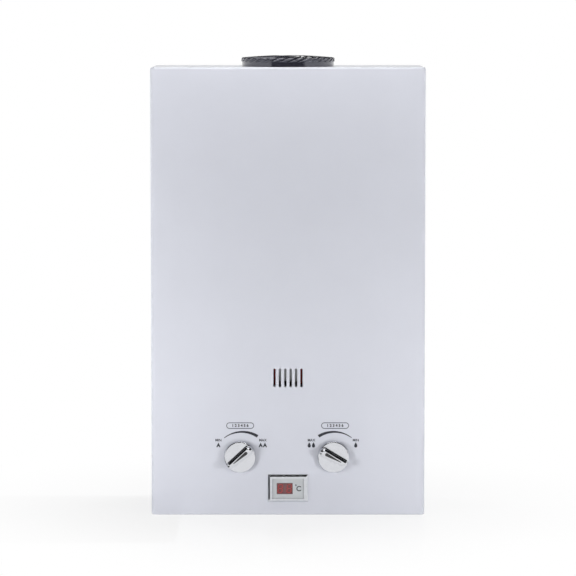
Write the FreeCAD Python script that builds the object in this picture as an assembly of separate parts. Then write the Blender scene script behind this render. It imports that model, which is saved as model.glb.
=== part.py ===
import FreeCAD, Part
import math
import os

# Wall-hung gas water heater with an open flue, in millimetres. +Z is up and the front
# faces -Y. The origin is on the plane it stands on, midway between the sides and midway
# between the knob tips and the wall.

V = FreeCAD.Vector
RIGHT = V(1, 0, 0)
LEFT = V(-1, 0, 0)
BACK = V(0, 1, 0)
FRONT = V(0, -1, 0)
UP = V(0, 0, 1)
DOWN = V(0, 0, -1)
PAST = 10.0  # how far a cutting tool runs past the face it opens
FAR = 1000.0  # well outside the object

# Casing
casing_width = 330.0
casing_height = 540.0
body_depth = 140.0
knob_proud = 17.0
back_y = (body_depth + knob_proud) / 2
face_y = back_y - body_depth
casing_back_y = back_y - 2.0
half_width = casing_width / 2
sheet = 1.0
side_round = 5.0
top_round = 3.0
bottom_round = 2.0
lip_width = 10.0
lip_end_y = 58.0
tab_size = 15.0
tab_front_y = 66.0
tab_z = 3.0
tab_screw_x = 156.0
tab_screw_y = 71.5

# Inspection slots
slot_count = 6
slot_pitch = 6.5
slot_width = 2.9
slot_height = 22.7
slot_z = 166.5

# Back plate
pan_half_width = half_width - sheet - 0.5
pan_bottom_z = tab_z + sheet
pan_top_z = casing_height - sheet - 0.2
pan_flange = 12.0
pan_front_y = back_y - sheet
rib_x = 105.0
rib_half_width = 12.0
rib_depth = 3.0
rib_bottom_z = 70.0
rib_top_z = 470.0
hook_hole_x = 100.0
hook_hole_z = 510.0
hook_hole_radius = 4.0
foot_hole_x = 148.0
foot_hole_z = 22.0
foot_hole_radius = 3.5

# Screws
screw_radius = 2.0
screw_hole_radius = 2.1
screw_head_radius = 3.8
screw_head_height = 2.2
recess_length = 4.2
recess_width = 0.9
recess_depth = 1.1

# Controls on the front
knob_z = 71.0
temperature_x = -58.0
water_x = 55.0
temperature_angle = 50.0
water_angle = -62.0
spindle_hole_radius = 7.0
knob_gap = 0.8
knob_radius = 19.5
knob_rim_radius = 18.7
knob_disc_height = 6.0
knob_edge_round = 1.2
knob_height = knob_proud - knob_gap
grip_head_z = 12.8
grip_head_radius = 5.3
grip_tail_z = -14.2
grip_tail_radius = 3.9
grip_draft = 0.9
grip_bevel = 2.3
grip_bevel_depth = 2.3
grip_edge_round = 0.5
knob_socket_depth = 13.0
knob_hollow_depth = 3.5
knob_hollow_outer = 17.0
knob_hollow_inner = 8.0
inlay_head_z = 9.6
inlay_head_radius = 2.0
inlay_tail_z = -9.6
inlay_tail_radius = 0.5
inlay_depth = 0.6

# Display
display_z = 32.3
bezel_width = 48.4
bezel_height = 33.6
bezel_proud = 3.0
bezel_bevel = 2.5
panel_width = 38.2
panel_height = 24.5
panel_proud = 1.2
panel_back = 0.8
panel_fit = 0.1
collar_width = 43.0
collar_height = 28.4
collar_depth = 5.0
cutout_gap = 0.2
window_x = -4.0
window_z = 32.1
window_width = 19.3
window_height = 13.7
lens_sunk = 0.3
board_back_y = -45.0

# Flue
flue_y = face_y + body_depth / 2
flue_hole_radius = 57.5
collar_radius = 56.0
collar_wall = 1.0
collar_rise = 10.0
collar_top_z = casing_height + collar_rise
bead_radius = 56.9
bead_height = 7.0
collar_ring_radius = 58.0
collar_ring_height = 1.2
guard_gap = 0.1
guard_rise = 2.5
guard_wall = 1.5
guard_skirt = 6.0
guard_slot_count = 30
guard_slot_radii = (13.0, 31.0, 49.5)
guard_slot_angles = (0.0, -26.0, -40.0)
guard_slot_half_widths = (0.6, 1.1, 1.6)
hood_wall = 0.8
hood_top_x = 63.0
hood_top_y = (-50.0, 67.0)
hood_slope_top_z = 500.0
hood_top_z = 512.0
relief_gap_y = (-20.0, 37.0)
relief_gap_z = (478.0, 494.0)

# Heat exchanger
jacket_x = 95.0
jacket_y = (-40.0, 57.0)
jacket_z = (214.0, 364.0)
jacket_round = 10.0
tube_radius = 6.5
tube_wall_gap = 0.2
coil_offset = tube_radius + tube_wall_gap
coil_start_z = 200.0
coil_first_z = 235.0
coil_climb = 18.0
coil_turns = 3
riser_x = -110.0
riser_join_z = 360.0
fins_z = (364.0, 412.0)
fin_count = 31
fin_pitch = 6.0
fin_thickness = 0.6
fin_tube_z = 388.0
fin_tube_rows = 5
fin_tube_pitch = 18.0
fin_tube_end_x = 108.0
fin_tube_exit_x = 112.0
fin_tube_bend = fin_tube_pitch / 2
fin_hole_radius = 6.6
sensor_z = 350.0
sensor_radius = 8.0
sensor_height = 7.0
sensor_stud_radius = 2.5
sensor_stud_length = 5.0

# Burner
bar_count = 10
bar_pitch = 16.0
bar_tube_z = 150.0
bar_tube_radius = 6.0
bar_bore_radius = 5.0
bar_bore_depth = 30.0
bar_y = (-36.0, 52.0)
bar_web_half = 2.0
bar_web_z = (150.0, 182.0)
bar_head_half = 5.5
bar_head_z = (180.0, 188.0)
port_count = 8
port_width = 1.2
port_length = 7.0
port_depth = 5.0
frame_wall = 1.2
frame_z = (160.0, 214.0)
rail_z = (140.0, 144.0)
rail_width = 6.0
rail_front_y = -32.0
rail_back_y = 42.0
manifold_y = -50.0
manifold_radius = 7.0
manifold_bore = 5.0
manifold_half_length = 82.0
manifold_end = 2.0
jet_hole_radius = 3.0
jet_stem_radius = 2.95
jet_stem_length = 2.0
jet_radius = 4.0
jet_length = 5.0
jet_bore = 0.6
electrode_z = 196.0
electrode_x = (-20.0, -4.0, 16.0)
electrode_front_y = -54.0
insulator_radius = 3.0
insulator_length = 26.0
insulator_collar_radius = 4.5
insulator_collar_length = 4.0
electrode_radius = 1.0
electrode_tip_y = 2.0
electrode_stub = 4.0

# Threaded connectors under the valves
thread_radius = 10.4775
connector_y = 28.0
hot_x = 118.0
connector_bottom_z = 6.0
thread_length = 16.0
connector_hex = 27.0
connector_radius = 11.0
connector_bore = 7.5
shelf_z = 34.0
shelf_thickness = 1.5
shelf_x = (-152.0, 145.0)
shelf_front_y = -8.0
shelf_flange_top_z = 62.0
shelf_hole_radius = 11.2
shelf_window_x = (-35.0, 32.0)
shelf_window_y = (2.0, 58.0)
shelf_screw_x = (-130.0, -45.0, 45.0, 130.0)
shelf_screw_z = 50.0
nut_height = 6.0
nut_hex = 30.0
nut_bore = 11.05
union_hex = 22.0
union_height = 10.0
union_bore = 6.55
hot_connector_top_z = 64.0
filter_radius = 7.4
filter_bore = 6.4
filter_z = (9.0, 30.0)

# Gas valve
gas_block_x = (-79.0, -30.0)
gas_block_y = (-16.0, 42.0)
gas_block_z = (54.0, 94.0)
block_round = 4.0
plug_radius = 7.92
plug_bore = 8.0
plug_end_y = 3.5
plug_gap = 0.5
spindle_radius = 4.0
spindle_bore = 4.06
spindle_tip_y = face_y - 12.5
spindle_flat = 2.9
spindle_flat_length = 11.0
bonnet_radius = 18.0
bonnet_thickness = 3.0
neck_radius = 9.0
neck_front_y = -44.0
seal_groove_radius = 5.9
seal_groove_width = 2.0
seal_y = -40.0
seal_ring_radius = 5.0
seal_wire_radius = 0.85
bonnet_screw_offset = 13.5
rod_y = 20.0
rod_z = 74.0
rod_radius = 2.0
rod_bore = 2.06
gas_seat_x = -36.0
poppet_bore = 9.0
poppet_bore_end_x = -62.0
poppet_gap = 0.3
poppet_radius = 7.0
poppet_thickness = 4.0
port_radius = 6.0
channel_radius = 4.0
outlet_y = -4.0
solenoid_x = (-105.0, -81.0)
solenoid_radius = 13.0
solenoid_bore = 4.6
solenoid_floor = 2.0
solenoid_flange_half = 14.0
solenoid_chamber_end_x = -67.0
plunger_radius = 4.52
plunger_x = (-99.0, -74.0)
plunger_disc = 4.0
spring_radius = 5.6
spring_wire = 0.6
spring_turns = 6
gas_riser_radius = 7.0
gas_riser_turn_z = 118.0
gas_riser_bend = 14.0

# Water valve
water_block_x = (34.0, 78.0)
water_block_y = (-18.0, 40.0)
water_block_z = (50.0, 92.0)
flange_radius = 30.0
flange_thickness = 10.0
chamber_radius = 22.0
chamber_depth = 4.0
diaphragm_thickness = 2.0
cover_depth = 8.0
cover_boss_radius = 9.0
cover_boss_length = 8.0
plate_radius = 18.0
plate_thickness = 2.2
plate_gap = 0.3
flange_screw_count = 6
flange_screw_circle = 26.0
outlet_x = 60.0
outlet_boss_radius = 10.0
outlet_boss_height = 6.0
outlet_bore = 5.0
outlet_bore_start_z = 80.0
boss_radius = 12.0
boss_front_y = -30.0
water_neck_radius = 8.5
needle_radius = 6.42
needle_bore = 6.5
needle_y = (-15.5, -9.0)
needle_tip_y = 2.0
needle_tip_radius = 1.5
needle_bore_end_y = 6.0
relief_y = 10.0
relief_z = 62.0
relief_radius = 7.5
relief_length = 14.0
relief_bore = 3.06
relief_stem_radius = 3.0
relief_bore_depth = 8.0
relief_cap_gap = 0.3
relief_cap_radius = 9.0
relief_cap_length = 7.0
relief_wing_length = 6.0
relief_wing_half = 1.5
cold_pipe_turn_z = 112.0
cold_pipe_side_z = 135.0
cold_pipe_bend = 14.0
hot_pipe_x = 131.0
hot_pipe_low_z = 115.0
hot_pipe_join_z = 88.0
hot_pipe_bend = 14.0
pipe_wall = 1.0

# Micro switch
lever_x = -12.5
lever_pivot_z = 84.0
lever_y = (14.0, 26.0)
lever_half_thickness = 0.3
lever_bottom_z = 72.0
lever_notch_y = (17.2, 22.8)
lever_notch_z = 80.0
lever_barrel_radius = 1.5
lever_barrel_bore = 0.8
lever_pin_radius = 0.75
lever_gap = 0.3
collar_on_rod_radius = 5.0
collar_on_rod_length = 2.0
switch_x = (-24.0, -4.0)
switch_y = (12.5, 27.5)
switch_z = (86.5, 97.0)
switch_ear = 1.2
switch_ear_x = (-15.0, -10.0)
switch_ear_z = 82.5
switch_arm_y = (15.0, 25.0)
switch_arm_z = (88.0, 92.0)

# Batteries
battery_x = (-152.0, -80.0)
battery_y = (-50.0, -8.0)
battery_z = (8.0, 76.0)
battery_wall = 2.0
cell_radius = 16.7
cell_offset = 17.0
cell_z = (9.0, 70.0)
cell_cap_radius = 5.0
cell_cap_height = 1.5
door_z = (4.0, 7.0)
door_back_y = -9.6
hinge_y = -6.5
hinge_z = 6.0
knuckle_radius = 2.2
knuckle_bore = 1.05
hinge_pin_radius = 1.0
door_knuckles = ((-150.0, -130.0), (-102.0, -82.0))
box_knuckle = (-126.0, -106.0)
box_knuckle_back_y = -4.3
box_knuckle_top_z = 14.0

# Control box, exchanger brackets and leads
control_x = (-40.0, 40.0)
control_y = 38.0
control_z = (106.0, 138.0)
control_round = 3.0
bracket_x = (30.0, 60.0)
bracket_wall = 1.5
bracket_low_z = (170.0, 205.0)
bracket_high_z = (370.0, 405.0)
lead_radius = 1.1
lead_bend = 5.0
lead_passage_y = -41.3
spark_lead_x = -16.0
sense_lead_x = 16.0
lead_level_z = 116.0


def block(x, y, z):
    """Box between the two ends given along each axis."""
    return Part.makeBox(x[1] - x[0], y[1] - y[0], z[1] - z[0], V(x[0], y[0], z[0]))


def centred(middle, width):
    """Both ends of a width about its middle."""
    return (middle - width / 2, middle + width / 2)


def inset(ends, by):
    """Both ends moved in by one distance."""
    return (ends[0] + by, ends[1] - by)


def cylinder(x, y, z, direction, length, radius):
    return Part.makeCylinder(radius, length, V(x, y, z), direction)


def tube(x, y, z, direction, length, outer, inner):
    """Cylinder with a hole right through it."""
    solid = cylinder(x, y, z, direction, length, outer)
    return solid.cut(cylinder(x, y, z, direction, length, inner))


def hexagon(x, y, z, direction, length, across_flats):
    """Hexagonal bar, for nuts and spanner faces."""
    radius = across_flats / math.sqrt(3)
    turn = FreeCAD.Rotation(UP, direction)
    corners = []
    for step in range(7):
        angle = math.radians(60 * step)
        corner = V(radius * math.cos(angle), radius * math.sin(angle), 0)
        corners.append(V(x, y, z) + turn.multVec(corner))
    return Part.Face(Part.makePolygon(corners)).extrude(direction * length)


def join(*solids):
    """One solid from solids that share faces or overlap."""
    return solids[0].multiFuse(list(solids[1:])).removeSplitter()


def group(solids):
    """Several separate solids kept in one sub-part."""
    return Part.makeCompound(list(solids))


def spans(planes):
    """The stretches between planes, with plenty of room past the outer ones."""
    ends = (-FAR, *planes, FAR)
    return list(zip(ends, ends[1:]))


def in_panels(shell, x_planes, y_planes, z_planes):
    """A thin shell cut at planes into flat panels and bends, which touch each other."""
    panels = []
    for x in spans(x_planes):
        for y in spans(y_planes):
            for z in spans(z_planes):
                panels.extend(shell.common(block(x, y, z)).Solids)
    return panels


def at(value, target):
    return abs(value - target) < 0.01


def round_edges(solid, radius, wanted):
    """Round each edge whose centre passes the test."""
    edges = [edge for edge in solid.Edges if wanted(edge.CenterOfMass)]
    return solid.makeFillet(radius, edges)


def round_upright_edges(solid, radius):
    """Round the edges that run along Z."""
    edges = [edge for edge in solid.Edges if upright(edge)]
    return solid.makeFillet(radius, edges)


def upright(edge):
    ends = [vertex.Point for vertex in edge.Vertexes]
    return len(ends) == 2 and at(ends[0].x, ends[1].x) and at(ends[0].y, ends[1].y)


def bent_wire(points, bend):
    """Straight runs through the points, joined by tangent arcs of one radius."""
    points = [V(*point) for point in points]
    edges = []
    start = points[0]
    for before, corner, after in zip(points, points[1:], points[2:]):
        heading = (corner - before).normalize()
        leaving = (after - corner).normalize()
        turn = heading.getAngle(leaving)
        trim = bend * math.tan(turn / 2)
        inward = (leaving - heading).normalize()
        middle = corner + inward * (bend / math.cos(turn / 2) - bend)
        arc_start = corner - heading * trim
        arc_end = corner + leaving * trim
        if (arc_start - start).Length > 0.01:
            edges.append(Part.LineSegment(start, arc_start).toShape())
        edges.append(Part.Arc(arc_start, middle, arc_end).toShape())
        start = arc_end
    if (points[-1] - start).Length > 0.01:
        edges.append(Part.LineSegment(start, points[-1]).toShape())
    return Part.Wire(edges)


def bar_along(points, bend, radius):
    """Round bar bent along the points."""
    heading = V(*points[1]) - V(*points[0])
    section = Part.Wire(Part.makeCircle(radius, V(*points[0]), heading))
    return bent_wire(points, bend).makePipeShell([section], True, False)


def pipe_along(points, bend, radius):
    """Round pipe bent along the points, open at both ends."""
    return bar_along(points, bend, radius).cut(bar_along(points, bend, radius - pipe_wall))


def pipe_runs(points, bend, radius):
    """Straight tubes and bends that meet end to end along the points."""
    runs = []
    for edge in bent_wire(points, bend).Edges:
        start = edge.valueAt(edge.FirstParameter)
        heading = edge.tangentAt(edge.FirstParameter)
        solids = []
        for size in (radius, radius - pipe_wall):
            rim = Part.Wire(Part.makeCircle(size, start, heading))
            solids.append(Part.Wire([edge]).makePipeShell([rim], True, False))
        runs.append(solids[0].cut(solids[1]))
    return group(runs)


def screw(x, y, z, direction, length):
    """Pan head screw. The head's underside is at the point and the shank runs on from it."""
    head = cylinder(x, y, z, direction * -1, screw_head_height, screw_head_radius)
    shank = cylinder(x, y, z, direction, length, screw_radius)
    top = V(x, y, z) - direction * screw_head_height
    cross = []
    for size in ((recess_length, recess_width), (recess_width, recess_length)):
        bar = Part.makeBox(size[0], size[1], 2 * recess_depth)
        bar.translate(V(-size[0] / 2, -size[1] / 2, -recess_depth))
        bar.Placement = FreeCAD.Placement(top, FreeCAD.Rotation(UP, direction)) * bar.Placement
        cross.append(bar)
    return join(head, shank).cut(cross)


def casing_skin(depth):
    """The casing's skin at a depth below its outside, as a solid with rounded edges."""
    x = centred(0, casing_width - 2 * depth)
    y = (face_y + depth, casing_back_y + PAST * (depth > 0))
    z = (depth, casing_height - depth)
    skin = block(x, y, z)
    skin = round_edges(skin, side_round - depth, lambda c: at(c.y, y[0]) and at(abs(c.x), x[1]))
    skin = round_edges(skin, top_round - depth, lambda c: at(c.y, y[0]) and at(c.z, z[1]))
    return round_edges(skin, bottom_round - depth, lambda c: at(c.y, y[0]) and at(c.z, z[0]))


def inspection_slots():
    tools = []
    end = slot_height / 2 - slot_width / 2
    for index in range(slot_count):
        x = (index - (slot_count - 1) / 2) * slot_pitch
        y = (face_y - PAST, face_y + PAST)
        tools.append(block(centred(x, slot_width), y, (slot_z - end, slot_z + end)))
        for z in (slot_z - end, slot_z + end):
            tools.append(cylinder(x, y[0], z, BACK, 2 * PAST, slot_width / 2))
    return tools


def front_casing():
    tools = [casing_skin(sheet)]
    lip_x = centred(0, casing_width - 2 * lip_width)
    tools.append(block(lip_x, (face_y + lip_width, back_y + PAST), (-PAST, PAST)))
    inner_x = centred(0, casing_width - 2 * sheet)
    tools.append(block(inner_x, (lip_end_y, back_y + PAST), (-PAST, PAST)))
    tools.extend(inspection_slots())
    for x in (temperature_x, water_x):
        tools.append(cylinder(x, face_y - PAST, knob_z, BACK, 2 * PAST, spindle_hole_radius))
    cutout_x = centred(0, collar_width + 2 * cutout_gap)
    cutout_z = centred(display_z, collar_height + 2 * cutout_gap)
    tools.append(block(cutout_x, (face_y - PAST, face_y + PAST), cutout_z))
    tools.append(cylinder(0, flue_y, casing_height - PAST, UP, 2 * PAST, flue_hole_radius))
    shell = casing_skin(0).cut(tools)
    flat_x = centred(0, casing_width - 2 * side_round)
    flat_z = (bottom_round, casing_height - top_round)
    panels = in_panels(shell, flat_x, (face_y + side_round,), flat_z)
    for side in (-1, 1):
        wall_x = side * (half_width - sheet)
        tab_x = sorted((wall_x, wall_x - side * tab_size))
        tab = block(tab_x, (tab_front_y, casing_back_y), (tab_z, tab_z + sheet))
        hole = cylinder(side * tab_screw_x, tab_screw_y, 0, UP, PAST, screw_hole_radius)
        panels.append(tab.cut(hole))
    return group(panels)


def pan_form(depth, rear_y):
    """The back plate's tray at a depth below its outside, with rounded corners."""
    x = centred(0, 2 * (pan_half_width - depth))
    form = block(x, (back_y - pan_flange, rear_y), (pan_bottom_z + depth, pan_top_z - depth))
    return round_edges(form, top_round - depth, lambda c: at(abs(c.x), x[1]) and not mid_z(c.z))


def mid_z(z):
    return abs(z - (pan_bottom_z + pan_top_z) / 2) < PAST


def back_plate():
    outer = pan_form(0, back_y)
    inner = pan_form(sheet, pan_front_y)
    inner.translate(FRONT * PAST)
    inner = join(inner, pan_form(sheet, pan_front_y))
    ribs = []
    grooves = []
    for x in (-rib_x, rib_x):
        width = 2 * rib_half_width
        rib_y = (pan_front_y - rib_depth, back_y)
        ribs.append(block(centred(x, width + 2 * sheet), rib_y, (rib_bottom_z, rib_top_z)))
        groove_y = (pan_front_y - rib_depth + sheet, back_y + PAST)
        groove_z = (rib_bottom_z + sheet, rib_top_z - sheet)
        grooves.append(block(centred(x, width), groove_y, groove_z))
    holes = []
    for side in (-1, 1):
        holes.append(through_back(side * hook_hole_x, hook_hole_z, hook_hole_radius))
        holes.append(through_back(side * foot_hole_x, foot_hole_z, foot_hole_radius))
        holes.append(
            cylinder(side * tab_screw_x, tab_screw_y, 0, UP, PAST, screw_hole_radius)
        )
    for x in shelf_screw_x:
        holes.append(through_back(x, shelf_screw_z, screw_hole_radius))
    tray = join(outer.cut(inner), *ribs).cut(grooves + holes)
    flat_x = centred(0, 2 * (pan_half_width - top_round))
    flat_z = (pan_bottom_z + top_round, pan_top_z - top_round)
    return group(in_panels(tray, flat_x, (pan_front_y,), flat_z))


def through_back(x, z, radius):
    """Tool for a hole through the back plate."""
    return cylinder(x, back_y - PAST, z, BACK, 2 * PAST, radius)


def pipe_bracket():
    shelf_top_z = shelf_z + shelf_thickness
    shelf = block(shelf_x, (shelf_front_y, pan_front_y), (shelf_z, shelf_top_z))
    flange_y = (pan_front_y - shelf_thickness, pan_front_y)
    flange = block(shelf_x, flange_y, (shelf_z, shelf_flange_top_z))
    tools = [block(shelf_window_x, shelf_window_y, (shelf_z - PAST, shelf_z + PAST))]
    for x in (temperature_x, water_x, hot_x):
        tools.append(cylinder(x, connector_y, shelf_z - PAST, UP, 2 * PAST, shelf_hole_radius))
    for x in shelf_screw_x:
        tools.append(through_back(x, shelf_screw_z, screw_hole_radius))
    return join(shelf, flange).cut(tools)


def exchanger_brackets():
    """Four channels that hold the exchanger and burner off the back plate."""
    brackets = []
    for side in (-1, 1):
        x = sorted((side * bracket_x[0], side * bracket_x[1]))
        for z in (bracket_low_z, bracket_high_z):
            channel = block(x, (jacket_y[1], pan_front_y), z)
            hollow = block(
                (x[0] - PAST, x[1] + PAST), inset((jacket_y[1], pan_front_y), bracket_wall), z
            )
            hollow.translate(UP * bracket_wall)
            brackets.append(channel.cut(hollow))
    return group(brackets)


def pan_head_screws():
    screws = []
    for side in (-1, 1):
        screws.append(screw(side * tab_screw_x, tab_screw_y, tab_z, UP, 6.0))
    for x in shelf_screw_x:
        flange_front_y = pan_front_y - shelf_thickness
        screws.append(screw(x, flange_front_y, shelf_screw_z, BACK, back_y - flange_front_y - 0.1))
    for side in (-1, 1):
        x = temperature_x + side * bonnet_screw_offset
        front_y = gas_block_y[0] - bonnet_thickness
        screws.append(screw(x, front_y, knob_z, BACK, bonnet_thickness + PAST))
    return group(screws)


def rectangle(x, y, z):
    """Flat rectangular wire at one height."""
    corners = [V(x[0], y[0], z), V(x[1], y[0], z), V(x[1], y[1], z), V(x[0], y[1], z)]
    return Part.makePolygon(corners + corners[:1])


def hood_form(wall):
    """Sloped hood with a short upright top, at a depth below its outside."""
    bottom_x = centred(0, 2 * (jacket_x - wall))
    top_x = centred(0, 2 * (hood_top_x - wall))
    bottom = rectangle(bottom_x, inset(jacket_y, wall), fins_z[1])
    top = rectangle(top_x, inset(hood_top_y, wall), hood_slope_top_z)
    slope = Part.makeLoft([bottom, top], True, True)
    upright_part = block(top_x, inset(hood_top_y, wall), (hood_slope_top_z, hood_top_z - wall))
    return join(slope, upright_part)


def flue_hood():
    shell = hood_form(0).cut(hood_form(hood_wall))
    relief = block(centred(0, 2 * jacket_x), relief_gap_y, relief_gap_z)
    mouth = cylinder(0, flue_y, hood_top_z - PAST, UP, 2 * PAST, collar_radius - collar_wall)
    return shell.cut([relief, mouth])


def flue_collar():
    inner = collar_radius - collar_wall
    ring = tube(0, flue_y, hood_top_z, UP, collar_ring_height, collar_ring_radius, inner)
    wall = tube(0, flue_y, hood_top_z, UP, collar_top_z - hood_top_z, collar_radius, inner)
    bead_z = casing_height - bead_height
    bead = tube(0, flue_y, bead_z, UP, bead_height, bead_radius, inner)
    return join(ring, wall, bead)


def guard_point(radius, angle, across):
    """Point of the guard's plan, a distance across the slot from its middle line."""
    turn = math.radians(angle)
    outward = V(math.cos(turn), math.sin(turn), 0)
    return outward * radius + UP.cross(outward) * across


def guard_slot(turn):
    """Curved slot that widens outwards, as an upright tool."""
    sides = []
    for side in (-1, 1):
        points = []
        for radius, angle, half in zip(
            guard_slot_radii, guard_slot_angles, guard_slot_half_widths
        ):
            points.append(guard_point(radius, angle + turn, side * half))
        sides.append(points)
    near, far = sides
    edges = [
        Part.Arc(near[0], near[1], near[2]).toShape(),
        Part.LineSegment(near[2], far[2]).toShape(),
        Part.Arc(far[2], far[1], far[0]).toShape(),
        Part.LineSegment(far[0], near[0]).toShape(),
    ]
    tool = Part.Face(Part.Wire(edges)).extrude(UP * 4 * PAST)
    tool.translate(V(0, flue_y, collar_top_z - 2 * PAST))
    return tool


def cap_of_ball(radius, rise, base_z):
    """Slice of a large ball that stands on a round base."""
    ball_radius = (radius * radius + rise * rise) / (2 * rise)
    ball = Part.makeSphere(ball_radius, V(0, flue_y, base_z + rise - ball_radius))
    return ball.common(cylinder(0, flue_y, base_z, UP, rise + PAST, radius))


def flue_guard():
    """Shallow dome with swirling slots, on a skirt that sits inside the collar."""
    radius = collar_radius - collar_wall - guard_gap
    skirt_z = collar_top_z - guard_skirt
    skirt = tube(0, flue_y, skirt_z, UP, guard_skirt, radius, radius - guard_wall)
    dome = cap_of_ball(radius, guard_rise, collar_top_z)
    hollow = cap_of_ball(radius - guard_wall, guard_rise - guard_wall, collar_top_z)
    slots = [guard_slot(index * 360 / guard_slot_count) for index in range(guard_slot_count)]
    return group([skirt, dome.cut(hollow).cut(slots)])


def combustion_jacket():
    outer = round_upright_edges(block(centred(0, 2 * jacket_x), jacket_y, jacket_z), jacket_round)
    inner_x = centred(0, 2 * (jacket_x - sheet))
    inner = round_upright_edges(
        block(inner_x, inset(jacket_y, sheet), jacket_z), jacket_round - sheet
    )
    flat_x = centred(0, 2 * (jacket_x - jacket_round))
    return group(in_panels(outer.cut(inner), flat_x, inset(jacket_y, jacket_round), ()))


def jacket_coil():
    """Water tube that climbs round the jacket and ends in a riser to the fins."""
    side_x = jacket_x + coil_offset
    front_y = jacket_y[0] - coil_offset
    rear_y = jacket_y[1] + coil_offset
    points = [(side_x, rear_y, coil_start_z)]
    z = coil_first_z
    for turn in range(coil_turns):
        points.append((side_x, rear_y, z))
        points.append((side_x, front_y, z + coil_climb))
        points.append((-side_x, front_y, z + coil_climb))
        z += 2 * coil_climb
        if turn < coil_turns - 1:
            points.append((-side_x, rear_y, z))
    points.append((riser_x, rear_y, z))
    points.append((riser_x, rear_y, riser_join_z))
    return pipe_runs(points, jacket_round + coil_offset, tube_radius)


def fin_tube_ys():
    """Places of the tube rows through the fins, from the back to the front."""
    middle = (fin_tube_rows - 1) / 2
    return [flue_y + (middle - row) * fin_tube_pitch for row in range(fin_tube_rows)]


def fin_tube_holes():
    start_x = -jacket_x - PAST
    holes = []
    for y in fin_tube_ys():
        holes.append(cylinder(start_x, y, fin_tube_z, RIGHT, -2 * start_x, fin_hole_radius))
    return holes


def fin_casing():
    """Four flat walls round the fins, with holes for the tube in the end walls."""
    inner_y = inset(jacket_y, sheet)
    walls = []
    for y in ((jacket_y[0], inner_y[0]), (inner_y[1], jacket_y[1])):
        walls.append(block(centred(0, 2 * jacket_x), y, fins_z))
    for side in (-1, 1):
        x = sorted((side * jacket_x, side * (jacket_x - sheet)))
        walls.append(block(x, inner_y, fins_z).cut(fin_tube_holes()))
    return group(walls)


def heat_fins():
    """Thin upright plates side by side, threaded on the tube."""
    fins = []
    for index in range(fin_count):
        x = (index - (fin_count - 1) / 2) * fin_pitch
        plate = block(centred(x, fin_thickness), inset(jacket_y, sheet), fins_z)
        fins.append(plate.cut(fin_tube_holes()))
    return group(fins)


def fin_tube():
    """Tube that folds back and forth through the fins."""
    rear_y = jacket_y[1] + coil_offset
    rows = fin_tube_ys()
    points = [(riser_x, rear_y, riser_join_z), (riser_x, rear_y, fin_tube_z)]
    points.append((riser_x, rows[0], fin_tube_z))
    end_x = fin_tube_end_x
    for y, next_y in zip(rows, rows[1:]):
        points.append((end_x, y, fin_tube_z))
        points.append((end_x, next_y, fin_tube_z))
        end_x = -end_x
    points.append((fin_tube_exit_x, rows[-1], fin_tube_z))
    return pipe_runs(points, fin_tube_bend, tube_radius)


def overheat_sensor():
    wall_x = -jacket_x
    stud = cylinder(wall_x, flue_y, sensor_z, LEFT, sensor_stud_length, sensor_stud_radius)
    button_x = wall_x - sensor_stud_length
    button = cylinder(button_x, flue_y, sensor_z, LEFT, sensor_height, sensor_radius)
    return join(stud, button)


def bar_xs():
    return [(index - (bar_count - 1) / 2) * bar_pitch for index in range(bar_count)]


def burner_bar(x):
    length = bar_y[1] - bar_y[0]
    mixer = cylinder(x, bar_y[0], bar_tube_z, BACK, length, bar_tube_radius)
    web = block(centred(x, 2 * bar_web_half), inset(bar_y, bar_web_half), bar_web_z)
    head = block(centred(x, 2 * bar_head_half), bar_y, bar_head_z)
    tools = [cylinder(x, bar_y[0], bar_tube_z, BACK, bar_bore_depth, bar_bore_radius)]
    for index in range(port_count):
        y = bar_y[0] + (index + 0.5) * length / port_count
        port_z = (bar_head_z[1] - port_depth, bar_head_z[1] + PAST)
        tools.append(block(centred(x, port_length), centred(y, port_width), port_z))
    return join(mixer, web, head).cut(tools)


def burner_bars():
    return group(burner_bar(x) for x in bar_xs())


def burner_frame():
    outer = block(centred(0, 2 * jacket_x), jacket_y, frame_z)
    inner_x = centred(0, 2 * (jacket_x - frame_wall))
    ring = outer.cut(block(inner_x, inset(jacket_y, frame_wall), frame_z))
    parts = []
    for side in (-1, 1):
        wall_x = sorted((side * jacket_x, side * (jacket_x - frame_wall)))
        parts.append(block(wall_x, jacket_y, (rail_z[0], frame_z[0])))
    for y in (rail_front_y, rail_back_y):
        parts.append(block(inner_x, (y, y + rail_width), rail_z))
    holes = []
    for x in electrode_x:
        holes.append(cylinder(x, jacket_y[0] - PAST, electrode_z, BACK, 2 * PAST, insulator_radius))
    return join(ring, *parts).cut(holes)


def gas_manifold():
    length = 2 * manifold_half_length
    start_x = -manifold_half_length
    outer = cylinder(start_x, manifold_y, bar_tube_z, RIGHT, length, manifold_radius)
    bore = cylinder(
        start_x + manifold_end, manifold_y, bar_tube_z, RIGHT, length - 2 * manifold_end,
        manifold_bore,
    )
    tools = [bore]
    for x in bar_xs():
        tools.append(cylinder(x, manifold_y, bar_tube_z, BACK, PAST, jet_hole_radius))
    return outer.cut(tools)


def gas_jets():
    jets = []
    seat_y = manifold_y + manifold_radius
    for x in bar_xs():
        head = cylinder(x, seat_y, bar_tube_z, BACK, jet_length, jet_radius)
        stem_y = seat_y - jet_stem_length
        stem = cylinder(x, stem_y, bar_tube_z, BACK, jet_stem_length, jet_stem_radius)
        bore = cylinder(x, stem_y - PAST, bar_tube_z, BACK, 3 * PAST, jet_bore)
        jets.append(join(head, stem).cut(bore))
    return group(jets)


def electrode_insulators():
    insulators = []
    for x in electrode_x:
        y = electrode_front_y
        body = cylinder(x, y, electrode_z, BACK, insulator_length, insulator_radius)
        collar_y = jacket_y[0] - insulator_collar_length
        collar = cylinder(
            x, collar_y, electrode_z, BACK, insulator_collar_length, insulator_collar_radius
        )
        bore = cylinder(x, y, electrode_z, BACK, insulator_length, electrode_radius)
        insulators.append(join(body, collar).cut(bore))
    return group(insulators)


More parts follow.
